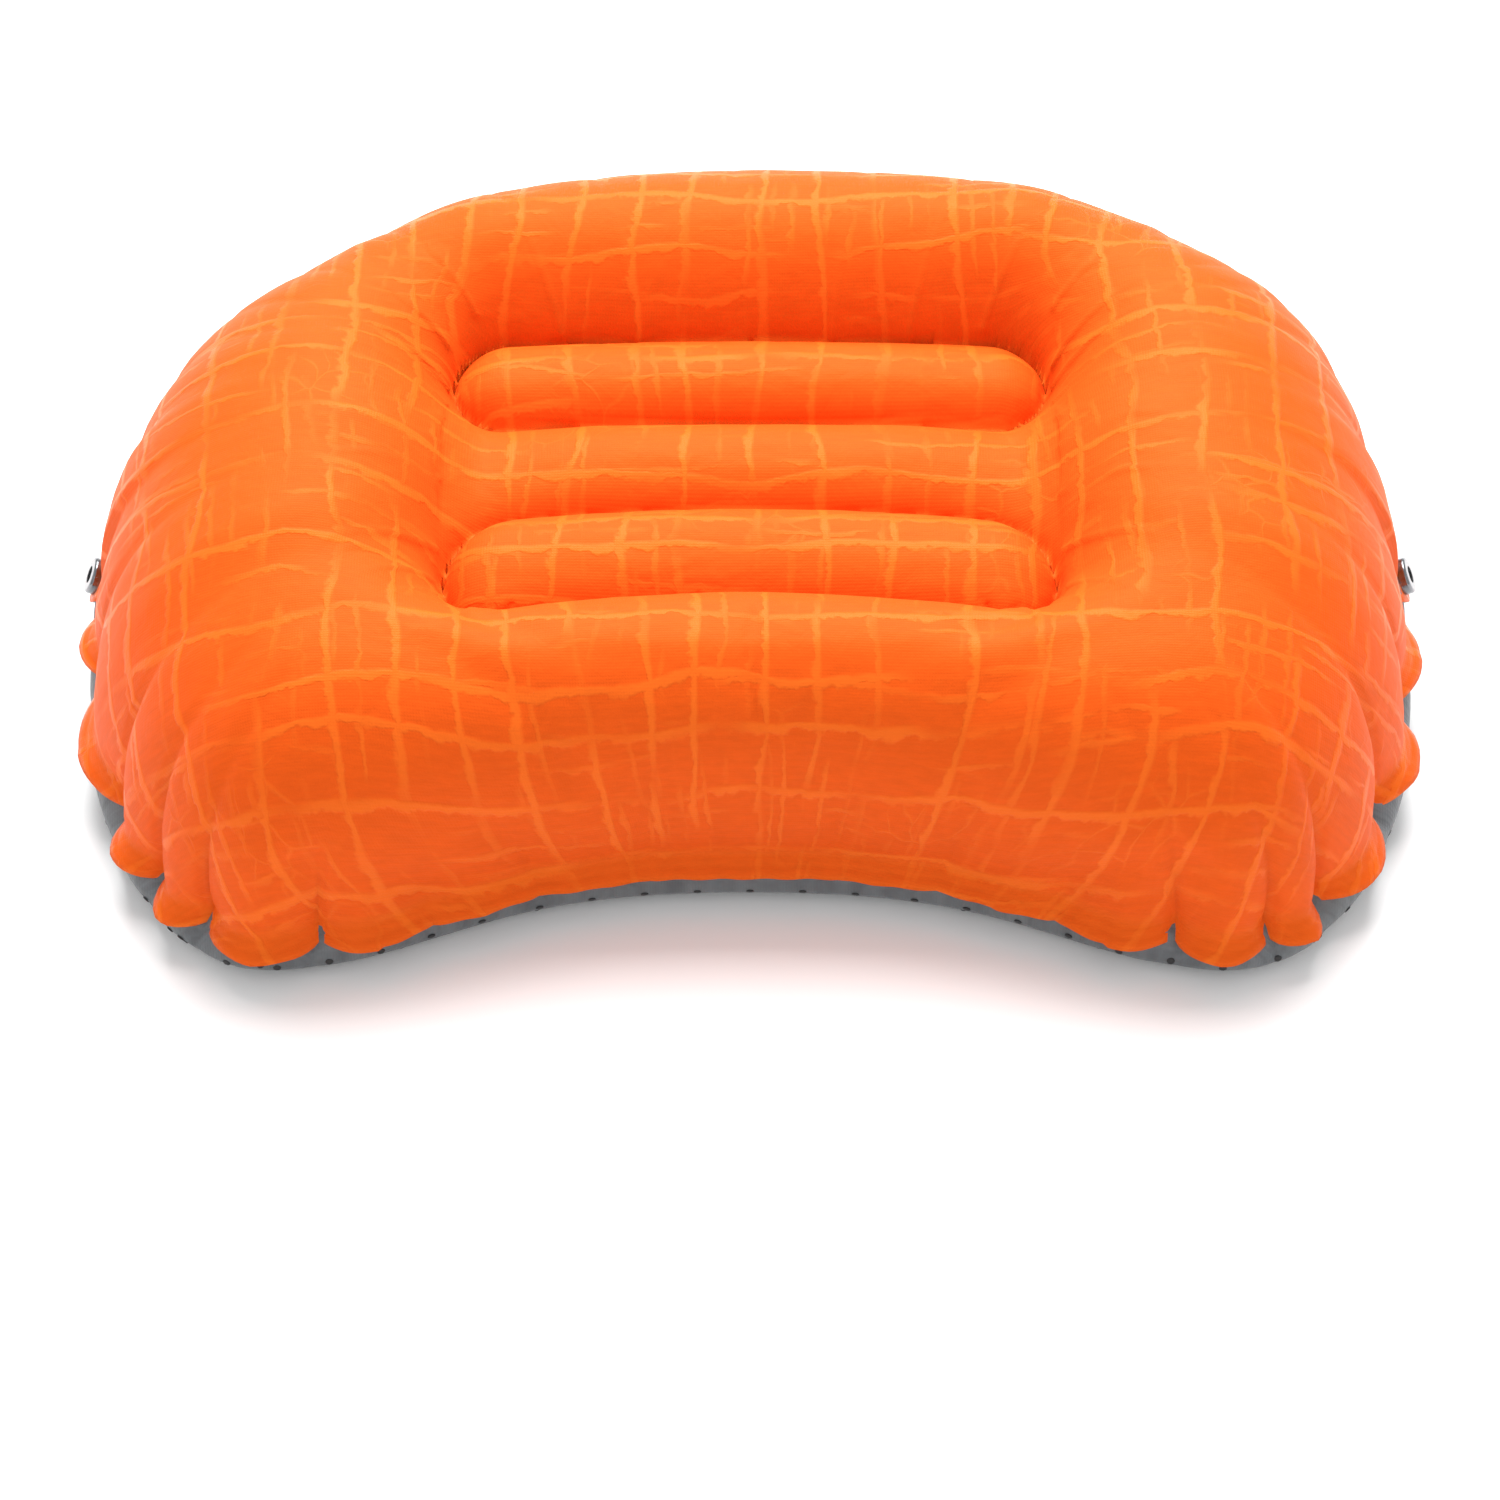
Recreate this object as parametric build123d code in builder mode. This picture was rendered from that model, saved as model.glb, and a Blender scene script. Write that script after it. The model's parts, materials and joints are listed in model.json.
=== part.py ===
from build123d import *

import os
from math import cos, radians, sin, sqrt, tan

# An inflatable camp pillow: two welded panels, four inner baffles that draw the middle down into
# three tubes, a snap socket on each side, and a valve with two lids and a check flap in the back wall.
# Millimetres, +Z up, the neck side towards -Y, the origin on the ground under the middle.

# ---- driving dimensions: bladder ------------------------------------------------------------------
DEPTH = 290.0  # front corners to the back edge
HEIGHT = 110.0  # ground to the middle of the level through the ridges
FABRIC = 0.4  # laminated cloth of either panel
LEAN = 4.6  # the seam and all above it lean down towards the neck, degrees

# Right half of the seam's outer edge, from the middle of the back to the middle of the neck recess.
HALF_SEAM = [
    (0, DEPTH / 2),
    (95, 134.5),
    (165, 102),
    (206, 57),
    (216.5, 4),
    (217, -50),
    (204, -100),
    (150, -DEPTH / 2),
    (75, -124),
    (0, -116),
]
SEAM = HALF_SEAM + [(-x, y) for x, y in HALF_SEAM[-2:0:-1]]
SIDE_X, SNAP_Y = HALF_SEAM[4]  # the seam beside the snaps

# The two panels meet in a welded flange that droops from its root to its free edge.
FLANGE_DROOP = radians(65)  # below the horizontal
FLANGE_WIDTH = 8.0
FLANGE_IN = FLANGE_WIDTH * cos(FLANGE_DROOP)
FLANGE_RISE = FLANGE_WIDTH * sin(FLANGE_DROOP)
EDGE_Z = 24.5  # of the seam's edge, in the middle of the depth
ROOT_Z = EDGE_Z + FLANGE_RISE
LAYER = FABRIC / sin(FLANGE_DROOP)  # one layer of the flange, measured level

# Panel profiles as (distance inside the seam edge, height in the middle of the depth), from the
# flange root to the ridge, and from the flat underside to the flange root.
TOP_PROFILE = [
    (FLANGE_IN, ROOT_Z),
    (5.0, 43.0),
    (6.0, 55.0),
    (9.5, 70.0),
    (17.0, 84.5),
    (28.0, 96.0),
    (44.0, 105.0),
    (62.0, HEIGHT),
]
BOTTOM_PROFILE = [
    (26.0, 0.0),
    (17.0, 4.5),
    (11.0, 12.5),
    (6.5, 23.0),
    (FLANGE_IN + LAYER, ROOT_Z),
]

# ---- driving dimensions: sunken middle ------------------------------------------------------------
TUBE_PITCH = 38.0
TUBE_RADIUS = 20.5
TUBE_HALF = 98.0  # half the length of a tube and of a baffle
TUBE_Z = 64.5
TUBE_Y = [-32.0 + TUBE_PITCH * i for i in range(3)]
WELL_Z = 67.5
WELL_SLOPE = radians(30)  # wall of the sunken middle, from the vertical
WELL_TOP = HEIGHT + 15.0
WELL_CORNER = 12.0
BAFFLE_THICK = 0.3
BAFFLE_FOOT = 7.0
BAFFLE_FLOOR = FABRIC
EDGE_BAFFLE_TOP = 66.9  # beside the walls of the sunken middle
MIDDLE_BAFFLE_TOP = 70.7  # between two tubes
BAFFLES = {
    "baffle_front": (TUBE_Y[0] - TUBE_PITCH / 2, EDGE_BAFFLE_TOP),
    "baffle_front_middle": (TUBE_Y[0] + TUBE_PITCH / 2, MIDDLE_BAFFLE_TOP),
    "baffle_rear_middle": (TUBE_Y[1] + TUBE_PITCH / 2, MIDDLE_BAFFLE_TOP),
    "baffle_rear": (TUBE_Y[2] + TUBE_PITCH / 2, EDGE_BAFFLE_TOP),
}

# ---- driving dimensions: anti-slip dots -----------------------------------------------------------
DOT_RADIUS = 1.2
DOT_DEEP = 0.15  # the dots are printed flush into the underside
DOT_PITCH = 17.0
DOT_COLUMNS = 26
DOT_ROWS = 20
DOT_MARGIN = 3.0  # from a dot's middle to the rim of the flat underside

# ---- driving dimensions: snaps --------------------------------------------------------------------
TAB_WIDTH = 17.0
TAB_HALF = TAB_WIDTH / 2
TAB_LAP = 0.8  # the tab runs this far up over the flange root
SOCKET_RADIUS = 6.2
SOCKET_HIGH = 3.2
SOCKET_ROUND = 1.0
SOCKET_BORE = 2.9
SOCKET_SEAT = 1.0  # the bore's floor, level with the riveted head of the cap's post
GROOVE_LOW = 1.7
GROOVE_HIGH = 2.3
GROOVE_RADIUS = 3.3
WIRE_RADIUS = 0.25
RING_RADIUS = 3.03
RING_ARC = 330.0
CAP_RADIUS = 5.8
CAP_HIGH = 1.1
CAP_ROUND = 0.6
POST_RADIUS = 2.2
RIVET_RADIUS = 2.6
RIVET_FOOT = 0.5
TAB_BACK = -2 * FABRIC  # inner face of the two-layer tab

# ---- driving dimensions: valve --------------------------------------------------------------------
# In the valve's own plane x runs along the wall, y up the wall and z straight out of it.
VALVE_Z = 62.5
VALVE_LEAN = radians(14)
VALVE_INSET = 10.5
PATCH_RADIUS = 18.5  # the wall is drawn flat around the valve
PATCH_CUT = 30.0
WELD_RADIUS = 17.5
WELD_FOOT = -FABRIC - 0.8
NECK_OUTER = 12.8
NECK_BORE = 10.6
NECK_HIGH = 4.0
FIT = 0.05  # radial clearance of a plug in its bore
GAP = 0.1  # between a lid and the rim that it closes on
LID_RADIUS = 13.6
LID_Z = NECK_HIGH + GAP
LID_THICK = 1.6
PLUG_FOOT = -1.0
PLUG_WALL = 1.8
PLUG_LAND = 1.1  # straight length of a plug before it tapers
PLUG_TAPER = 0.5
PORT_BORE = 5.6
PORT_OUTER = 6.9
PORT_HIGH = 7.0
SPOKE_WIDTH = 1.2
SPOKE_HIGH = 0.8
HUB_RADIUS = 1.5
STOPPER_RADIUS = 7.8
STOPPER_Z = PORT_HIGH + GAP
STOPPER_THICK = 1.2
STOPPER_FOOT = 2.0
STOPPER_TAPER = 0.9
STOPPER_WALL = 1.3
HINGE_OUT = 1.6  # from a lid's rim to its hinge line
LID_HINGE_Y = LID_RADIUS + HINGE_OUT
STOPPER_HINGE_Y = STOPPER_RADIUS + HINGE_OUT
STRAP_THICK = 1.0
STRAP_GAP = 0.2
LID_STRAP_WIDTH = 8.0
STOPPER_STRAP_WIDTH = 5.0
LID_GRIP = 3.0  # finger tabs beyond the rims
STOPPER_GRIP = 2.2
FLAP_RADIUS = 6.7
FLAP_THICK = 0.6
FLAP_Z = PLUG_FOOT - 0.05
FLAP_TAIL = 5.0
FLAP_HINGE_Y = 7.3
KEEPER_LOW_Y = 7.6
KEEPER_HIGH_Y = 8.9
KEEPER_WIDTH = 6.4
KEEPER_THICK = 0.8
LUG_LOW_Y = 6.4
LUG_HIGH_Y = 9.2
LUG_HIGH = 1.0


# ---- shapes shared by several pieces --------------------------------------------------------------
seam_curve = Spline(*SEAM, periodic=True)
seam_tangents = [seam_curve.tangent_at(seam_curve.param_at_point(Vector(x, y))) for x, y in SEAM]


def seam_face(inset, plane):
    """The area inside the seam edge, drawn in by inset, on a plane."""
    points = [(x + t.Y * inset, y - t.X * inset) for (x, y), t in zip(SEAM, seam_tangents)]
    with BuildSketch(plane) as face:
        with BuildLine():
            Spline(*points, periodic=True)
        make_face()
    return face.sketch


def leaning(z):
    """A level through z above the origin: flat as far as the floor, fully leaning from the seam up."""
    lean = LEAN * min(1.0, max(0.0, z - FABRIC) / (EDGE_Z - FABRIC))
    return Plane((0, 0, z)).rotated((lean, 0, 0))


def bladder_faces(profile):
    """The seam faces through which a panel is lofted."""
    return [seam_face(inset, leaning(z)) for inset, z in profile]


def flange_faces(layer):
    """Edge and root of the flange, from the given layer of cloth inwards."""
    return bladder_faces([(layer * LAYER, EDGE_Z), (FLANGE_IN + layer * LAYER, ROOT_Z)])


def moved_in(profile, thick):
    """A panel profile moved square to itself by thick."""
    moved = []
    for i, (inset, z) in enumerate(profile):
        before = profile[max(i - 1, 0)]
        after = profile[min(i + 1, len(profile) - 1)]
        run = after[0] - before[0]
        rise = after[1] - before[1]
        length = sqrt(run * run + rise * rise)
        moved.append((inset + thick * rise / length, z - thick * run / length))
    return moved


def well_faces(grow):
    """Floor and mouth of the sunken middle, larger all round by grow."""
    floor_z = WELL_Z - grow
    faces = []
    for z in (floor_z, WELL_TOP):
        spread = grow + (z - floor_z) * tan(WELL_SLOPE)
        with BuildSketch(Plane((0, TUBE_Y[1], z))) as face:
            RectangleRounded(2 * (TUBE_HALF + spread), 3 * TUBE_PITCH + 2 * spread, WELL_CORNER + spread)
        faces.append(face.sketch)
    return faces


def tab_plane(side):
    """Outer face of a snap tab: z along the snap's axis, y up the tab, the origin at the snap."""
    x = SIDE_X - FLANGE_IN + TAB_HALF * cos(FLANGE_DROOP)
    z = ROOT_Z + SNAP_Y * tan(radians(LEAN)) - TAB_HALF * sin(FLANGE_DROOP)
    outwards = (side * sin(FLANGE_DROOP), 0, cos(FLANGE_DROOP))
    return Plane((side * x, SNAP_Y, z), x_dir=(0, side, 0), z_dir=outwards)


def tab_face(side, layer):
    """One layer of cloth of a snap tab, with the hole for the rivet."""
    with BuildSketch(tab_plane(side).offset(-FABRIC * (layer + 1))) as face:
        Circle(TAB_HALF)
        with Locations((0, (TAB_HALF + TAB_LAP) / 2)):
            Rectangle(TAB_WIDTH, TAB_HALF + TAB_LAP)
        Circle(POST_RADIUS, mode=Mode.SUBTRACT)
    return face.sketch


def tab_gap(side):
    """Middle of the stretch of flange that a snap tab takes the place of."""
    return (side * SIDE_X, SNAP_Y, ROOT_Z + SNAP_Y * tan(radians(LEAN)) - FLANGE_RISE / 2)


def cut_through(plane):
    """The plane that holds the given plane's x and z: for profiles turned about its z."""
    return Plane(plane.origin, x_dir=plane.x_dir, z_dir=-plane.y_dir)


def turned_face(plane, points):
    """A closed profile of (radius, height) points about a plane's z."""
    with BuildSketch(cut_through(plane)) as face:
        with BuildLine():
            Polyline(*points, close=True)
        make_face()
    return face.sketch


def turning(plane):
    """The axis along a plane's z."""
    return Axis(plane.origin, plane.z_dir)


def strap_face(plane, width, low_y, high_y):
    """A flat strap across a plane's y."""
    with BuildSketch(plane) as face:
        with Locations((0, (low_y + high_y) / 2)):
            Rectangle(width, high_y - low_y)
    return face.sketch


lean_out = (0, cos(VALVE_LEAN), sin(VALVE_LEAN))
valve = Plane((0, DEPTH / 2 - VALVE_INSET, VALVE_Z), x_dir=(-1, 0, 0), z_dir=lean_out)
pieces = {}

# ---- air space: what the two panels enclose, used only to hollow the top panel ---------------------
inner_profile = [(FLANGE_IN + LAYER, ROOT_Z)] + moved_in(TOP_PROFILE, FABRIC)[1:]
with BuildPart() as air_space:
    loft(sections=bladder_faces(inner_profile))
    loft(sections=well_faces(FABRIC), mode=Mode.SUBTRACT)
    for y in TUBE_Y:
        with BuildSketch(Plane((-TUBE_HALF, y, TUBE_Z), x_dir=(0, 1, 0), z_dir=(1, 0, 0))):
            Circle(TUBE_RADIUS - FABRIC)
        extrude(amount=2 * TUBE_HALF)
    with BuildSketch(valve.offset(-FABRIC)):
        Circle(PATCH_RADIUS + FABRIC)
    extrude(amount=PATCH_CUT, mode=Mode.SUBTRACT)

# ---- top panel -------------------------------------------------------------------------------------
with BuildPart() as top_panel:
    loft(sections=bladder_faces(TOP_PROFILE))
    loft(sections=well_faces(0), mode=Mode.SUBTRACT)
    for y in TUBE_Y:
        with BuildSketch(Plane((-TUBE_HALF, y, TUBE_Z), x_dir=(0, 1, 0), z_dir=(1, 0, 0))):
            Circle(TUBE_RADIUS)
        extrude(amount=2 * TUBE_HALF)
    with BuildSketch(valve):
        Circle(PATCH_RADIUS)
    extrude(amount=PATCH_CUT, mode=Mode.SUBTRACT)
    add(air_space.part, mode=Mode.SUBTRACT)
    with BuildSketch(valve.offset(-1.5 * FABRIC)):
        Circle(NECK_OUTER)
    extrude(amount=2 * FABRIC, mode=Mode.SUBTRACT)
    loft(sections=flange_faces(0))
    loft(sections=flange_faces(1), mode=Mode.SUBTRACT)
    for side in (-1, 1):
        with Locations(tab_gap(side)):
            Box(3 * FLANGE_WIDTH, TAB_WIDTH, FLANGE_RISE, mode=Mode.SUBTRACT)
        extrude(tab_face(side, 0), amount=FABRIC)
pieces["top_panel"] = top_panel

# ---- anti-slip dots, in staggered rows, flush with the flat underside -------------------------------
flat_underside = seam_face(BOTTOM_PROFILE[0][0] + DOT_MARGIN, Plane.XY).face()
with BuildPart() as grip_dots:
    with BuildSketch(Plane.XY):
        with HexLocations(DOT_PITCH / 2, DOT_COLUMNS, DOT_ROWS) as grid:
            spots = [spot.position for spot in grid.locations]
        with Locations([spot for spot in spots if flat_underside.is_inside(spot)]):
            Circle(DOT_RADIUS)
    extrude(amount=DOT_DEEP)
pieces["grip_dots"] = grip_dots

# ---- bottom panel ----------------------------------------------------------------------------------
inner_profile = [(BOTTOM_PROFILE[0][0], BAFFLE_FLOOR)] + moved_in(BOTTOM_PROFILE, FABRIC)[1:-1]
inner_profile.append((FLANGE_IN + 2 * LAYER, ROOT_Z))
with BuildPart() as bottom_panel:
    loft(sections=flange_faces(1))
    loft(sections=flange_faces(2), mode=Mode.SUBTRACT)
    for side in (-1, 1):
        with Locations(tab_gap(side)):
            Box(3 * FLANGE_WIDTH, TAB_WIDTH, FLANGE_RISE, mode=Mode.SUBTRACT)
    loft(sections=bladder_faces(BOTTOM_PROFILE))
    loft(sections=bladder_faces(inner_profile), mode=Mode.SUBTRACT)
    for side in (-1, 1):
        extrude(tab_face(side, 1), amount=FABRIC)
    add(grip_dots.part, mode=Mode.SUBTRACT)
pieces["bottom_panel"] = bottom_panel

# ---- baffles: a web across the air space with a welded foot along each edge ------------------------
for name, (y, top) in BAFFLES.items():
    with BuildPart() as baffle:
        with BuildSketch(Plane.YZ.offset(-TUBE_HALF)):
            with Locations((y, (BAFFLE_FLOOR + top) / 2)):
                Rectangle(BAFFLE_THICK, top - BAFFLE_FLOOR)
            with Locations((y, BAFFLE_FLOOR + BAFFLE_THICK / 2), (y, top - BAFFLE_THICK / 2)):
                Rectangle(BAFFLE_FOOT, BAFFLE_THICK)
        extrude(amount=2 * TUBE_HALF)
    pieces[name] = baffle

# ---- snaps: a socket outside each tab, held by the post of the cap inside it -----------------------
for side, prefix in ((-1, "left"), (1, "right")):
    tab = tab_plane(side)
    with BuildPart() as snap_socket:
        with BuildSketch(cut_through(tab)):
            with BuildLine():
                Polyline(
                    (SOCKET_RADIUS, SOCKET_HIGH - SOCKET_ROUND),
                    (SOCKET_RADIUS, 0),
                    (POST_RADIUS, 0),
                    (POST_RADIUS, RIVET_FOOT),
                    (RIVET_RADIUS, RIVET_FOOT),
                    (RIVET_RADIUS, SOCKET_SEAT),
                    (SOCKET_BORE, SOCKET_SEAT),
                    (SOCKET_BORE, GROOVE_LOW),
                    (GROOVE_RADIUS, GROOVE_LOW),
                    (GROOVE_RADIUS, GROOVE_HIGH),
                    (SOCKET_BORE, GROOVE_HIGH),
                    (SOCKET_BORE, SOCKET_HIGH),
                    (SOCKET_RADIUS - SOCKET_ROUND, SOCKET_HIGH),
                )
                RadiusArc(
                    (SOCKET_RADIUS - SOCKET_ROUND, SOCKET_HIGH),
                    (SOCKET_RADIUS, SOCKET_HIGH - SOCKET_ROUND),
                    SOCKET_ROUND,
                )
            make_face()
        revolve(axis=turning(tab))
    pieces[f"{prefix}_snap_socket"] = snap_socket

    with BuildPart() as snap_spring:
        with BuildSketch(cut_through(tab)):
            with Locations((RING_RADIUS, (GROOVE_LOW + GROOVE_HIGH) / 2)):
                Circle(WIRE_RADIUS)
        revolve(axis=turning(tab), revolution_arc=RING_ARC)
    pieces[f"{prefix}_snap_spring"] = snap_spring

    with BuildPart() as snap_cap:
        with BuildSketch(tab.offset(TAB_BACK - CAP_HIGH)):
            Circle(CAP_RADIUS)
        extrude(amount=CAP_HIGH)
        fillet(snap_cap.edges().group_by(turning(tab))[0], CAP_ROUND)
        with BuildSketch(tab.offset(TAB_BACK)):
            Circle(POST_RADIUS)
        extrude(amount=RIVET_FOOT - TAB_BACK)
        with BuildSketch(tab.offset(RIVET_FOOT)):
            Circle(RIVET_RADIUS)
        extrude(amount=SOCKET_SEAT - RIVET_FOOT)
    pieces[f"{prefix}_snap_cap"] = snap_cap

# ---- valve base: a disc welded inside the wall, with a neck that stands out through it -------------
with BuildPart() as valve_base:
    profile = [
        (NECK_BORE, WELD_FOOT),
        (WELD_RADIUS, WELD_FOOT),
        (WELD_RADIUS, -FABRIC),
        (NECK_OUTER, -FABRIC),
        (NECK_OUTER, NECK_HIGH),
        (NECK_BORE, NECK_HIGH),
    ]
    revolve(turned_face(valve, profile), axis=turning(valve))
pieces["valve_base"] = valve_base

with BuildPart() as deflate_lid_tether:
    strap_foot = valve.offset(LID_Z - STRAP_GAP - STRAP_THICK)
    extrude(strap_face(strap_foot, LID_STRAP_WIDTH, NECK_BORE, LID_HINGE_Y), amount=STRAP_THICK)
    with BuildSketch(strap_foot):
        Circle(NECK_OUTER)
    extrude(amount=STRAP_THICK, mode=Mode.SUBTRACT)
pieces["deflate_lid_tether"] = deflate_lid_tether

# ---- deflate lid: it plugs the neck, and carries the inflation port --------------------------------
plug_radius = NECK_BORE - FIT
with BuildPart() as deflate_lid:
    profile = [
        (PORT_BORE, PLUG_FOOT),
        (PORT_OUTER, PLUG_FOOT),
        (PORT_OUTER, LID_Z),
        (plug_radius - PLUG_WALL, LID_Z),
        (plug_radius - PLUG_WALL, PLUG_FOOT),
        (plug_radius - PLUG_TAPER, PLUG_FOOT),
        (plug_radius, LID_Z - PLUG_LAND),
        (plug_radius, LID_Z),
        (LID_RADIUS, LID_Z),
        (LID_RADIUS, LID_Z + LID_THICK),
        (PORT_OUTER, LID_Z + LID_THICK),
        (PORT_OUTER, PORT_HIGH),
        (PORT_BORE, PORT_HIGH),
    ]
    revolve(turned_face(valve, profile), axis=turning(valve))
    with BuildSketch(valve.offset(PLUG_FOOT)):
        Rectangle(2 * PORT_BORE + SPOKE_WIDTH, SPOKE_WIDTH)
        Rectangle(SPOKE_WIDTH, 2 * PORT_BORE + SPOKE_WIDTH)
        Circle(HUB_RADIUS)
    extrude(amount=SPOKE_HIGH)
    lug_foot = valve.offset(PLUG_FOOT)
    extrude(strap_face(lug_foot, KEEPER_WIDTH, LUG_LOW_Y, LUG_HIGH_Y), amount=LUG_HIGH)
    tab_foot = valve.offset(LID_Z)
    extrude(strap_face(tab_foot, LID_STRAP_WIDTH, NECK_OUTER, LID_HINGE_Y), amount=STRAP_THICK)
    grip_end = -LID_RADIUS - LID_GRIP
    extrude(strap_face(tab_foot, LID_STRAP_WIDTH, grip_end, -NECK_OUTER), amount=LID_THICK)
pieces["deflate_lid"] = deflate_lid

with BuildPart() as inflate_cap_tether:
    strap_foot = valve.offset(STOPPER_Z - STRAP_GAP - STRAP_THICK)
    extrude(strap_face(strap_foot, STOPPER_STRAP_WIDTH, PORT_BORE, STOPPER_HINGE_Y), amount=STRAP_THICK)
    with BuildSketch(strap_foot):
        Circle(PORT_OUTER)
    extrude(amount=STRAP_THICK, mode=Mode.SUBTRACT)
pieces["inflate_cap_tether"] = inflate_cap_tether

# ---- inflate cap: it plugs the port ----------------------------------------------------------------
stopper_radius = PORT_BORE - FIT
with BuildPart() as inflate_cap:
    profile = [
        (0, STOPPER_Z + STOPPER_THICK),
        (0, STOPPER_Z),
        (stopper_radius - STOPPER_WALL, STOPPER_Z),
        (stopper_radius - STOPPER_WALL, STOPPER_FOOT),
        (stopper_radius - STOPPER_TAPER, STOPPER_FOOT),
        (stopper_radius, STOPPER_Z - PLUG_LAND),
        (stopper_radius, STOPPER_Z),
        (STOPPER_RADIUS, STOPPER_Z),
        (STOPPER_RADIUS, STOPPER_Z + STOPPER_THICK),
    ]
    revolve(turned_face(valve, profile), axis=turning(valve))
    tab_foot = valve.offset(STOPPER_Z)
    extrude(strap_face(tab_foot, STOPPER_STRAP_WIDTH, PORT_OUTER, STOPPER_HINGE_Y), amount=STRAP_THICK)
    grip_end = -STOPPER_RADIUS - STOPPER_GRIP
    extrude(strap_face(tab_foot, STOPPER_STRAP_WIDTH, grip_end, -PORT_OUTER), amount=STRAP_THICK)
pieces["inflate_cap"] = inflate_cap

# ---- check flap: it hangs behind the port from its tail, under a keeper bar ------------------------
with BuildPart() as check_flap:
    with BuildSketch(valve.offset(FLAP_Z)):
        Circle(FLAP_RADIUS)
        with Locations((0, FLAP_HINGE_Y / 2)):
            Rectangle(FLAP_TAIL, FLAP_HINGE_Y)
    extrude(amount=-FLAP_THICK)
pieces["check_flap"] = check_flap

with BuildPart() as flap_keeper:
    keeper_face = strap_face(valve.offset(PLUG_FOOT), KEEPER_WIDTH, KEEPER_LOW_Y, KEEPER_HIGH_Y)
    extrude(keeper_face, amount=-KEEPER_THICK)
pieces["flap_keeper"] = flap_keeper

# ---- one file for each piece -----------------------------------------------------------------------
os.makedirs("parts", exist_ok=True)
for name, piece in pieces.items():
    piece.part.label = name
    export_step(piece.part, f"parts/{name}.step")
    size = piece.part.bounding_box().size
    print(f"{name}: {size.X:.1f} x {size.Y:.1f} x {size.Z:.1f} mm, {piece.part.volume:.0f} mm3")

for side in (-1, 1):
    print("snap bore floor", tab_plane(side).offset(SOCKET_SEAT).origin, tab_plane(side).z_dir)
print("lid hinge", valve.from_local_coords((0, LID_HINGE_Y, LID_Z)))
print("cap hinge", valve.from_local_coords((0, STOPPER_HINGE_Y, STOPPER_Z)))
print("flap hinge", valve.from_local_coords((0, FLAP_HINGE_Y, FLAP_Z)))
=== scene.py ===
import json
from math import cos, pi, radians, sin, sqrt, tan

import bmesh
import bpy
import numpy as np
from bpy.props import FloatProperty, FloatVectorProperty, PointerProperty
from mathutils import Matrix, Vector, noise
from mathutils.bvhtree import BVHTree


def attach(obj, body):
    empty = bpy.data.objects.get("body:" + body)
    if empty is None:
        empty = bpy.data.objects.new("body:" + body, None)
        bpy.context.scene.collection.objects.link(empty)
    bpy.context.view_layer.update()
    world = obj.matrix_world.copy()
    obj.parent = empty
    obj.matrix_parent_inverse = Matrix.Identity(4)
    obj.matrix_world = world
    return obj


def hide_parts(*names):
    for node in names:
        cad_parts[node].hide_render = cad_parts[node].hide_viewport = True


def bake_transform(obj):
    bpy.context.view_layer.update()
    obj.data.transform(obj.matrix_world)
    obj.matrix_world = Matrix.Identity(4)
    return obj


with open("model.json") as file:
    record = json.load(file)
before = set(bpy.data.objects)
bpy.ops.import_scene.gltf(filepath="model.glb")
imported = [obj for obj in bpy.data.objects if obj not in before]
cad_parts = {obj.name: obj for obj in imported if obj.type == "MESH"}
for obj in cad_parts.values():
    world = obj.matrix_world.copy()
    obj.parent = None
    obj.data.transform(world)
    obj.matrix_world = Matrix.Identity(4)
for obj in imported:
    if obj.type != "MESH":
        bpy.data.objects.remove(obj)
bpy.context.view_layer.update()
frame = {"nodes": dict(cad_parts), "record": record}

bl_info = {
    "name": "Inflatable Camp Pillow",
    "version": (1, 0, 0),
    "blender": (4, 5, 0),
    "location": "3D View > Sidebar > Camp Pillow",
    "description": "Builds an inflatable pillow with a ribbed middle, side snaps and a two-lid valve",
    "category": "Object",
}

MM = 0.001

# ---- the seam, in millimetres ---------------------------------------------------------------------
# Right half of the seam's outer edge, from the middle of the neck recess to the middle of the back.
HALF_OUTLINE = [
    (0, -116), (77, -125), (140, -145), (167, -143), (187, -127.5), (206, -96), (217.5, -50), (216, 8),
    (208, 54), (195, 79), (169, 99), (134, 121), (100, 133), (60, 141), (0, 145),
]
# The left half, back to the neck: its shoulder is a little slacker.
LEFT_OUTLINE = [(-60, 141), (-99, 131), (-131, 117), (-164, 94), (-190, 73), (-205, 50), (-216, 8)]
LEFT_OUTLINE += [(-x, y) for x, y in HALF_OUTLINE[6:0:-1]]
OUTLINE = HALF_OUTLINE + LEFT_OUTLINE
# Where the seam gathers, as (x, y, depth of the notch).
RIGHT_NOTCHES = [
    (30, -117, 0.5), (62, -121, 0.7), (101, -131, 1.8), (137, -141, 5.5), (166, -140, 5.0), (181, -126, 7.5),
    (202, -92, 8.0), (213, -51, 7.0), (215, -10, 5.5), (212.5, 26, 4.0), (210, 55, 5.5), (206, 80, 6.0),
    (198, 102, 6.0), (160, 106, 6.0), (122, 126, 5.0), (84, 136, 4.5), (44, 143, 3.5),
]
LEFT_NOTCHES = [
    (-34, -118, 0.5), (-70, -124, 0.9), (-104, -132, 1.6), (-138, -139, 5.0), (-171, -132, 6.0),
    (-188, -118, 7.0), (-202, -93, 8.0), (-215, -40, 6.5), (-216, -9, 5.5), (-213, 24, 4.0), (-206, 48, 5.5),
    (-194, 68, 6.0), (-170, 89, 6.0), (-137, 113, 5.5), (-98, 131, 4.5), (-58, 141, 4.0), (-6, 145, 2.5),
]
LEAN = radians(4.6)  # the seam leans down towards the neck
ROOT_Z = 31.0  # of the flange root, in the middle of the depth
ROOT_IN = 6.0  # from the flange's free edge to its root, seen from above
FLANGE_DROOP = radians(45)
TAB_DROOP = radians(65)
TAB_ROOT_IN = 3.4
SNAP_Y = 4.0
TAB_RADIUS = 8.5
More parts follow.
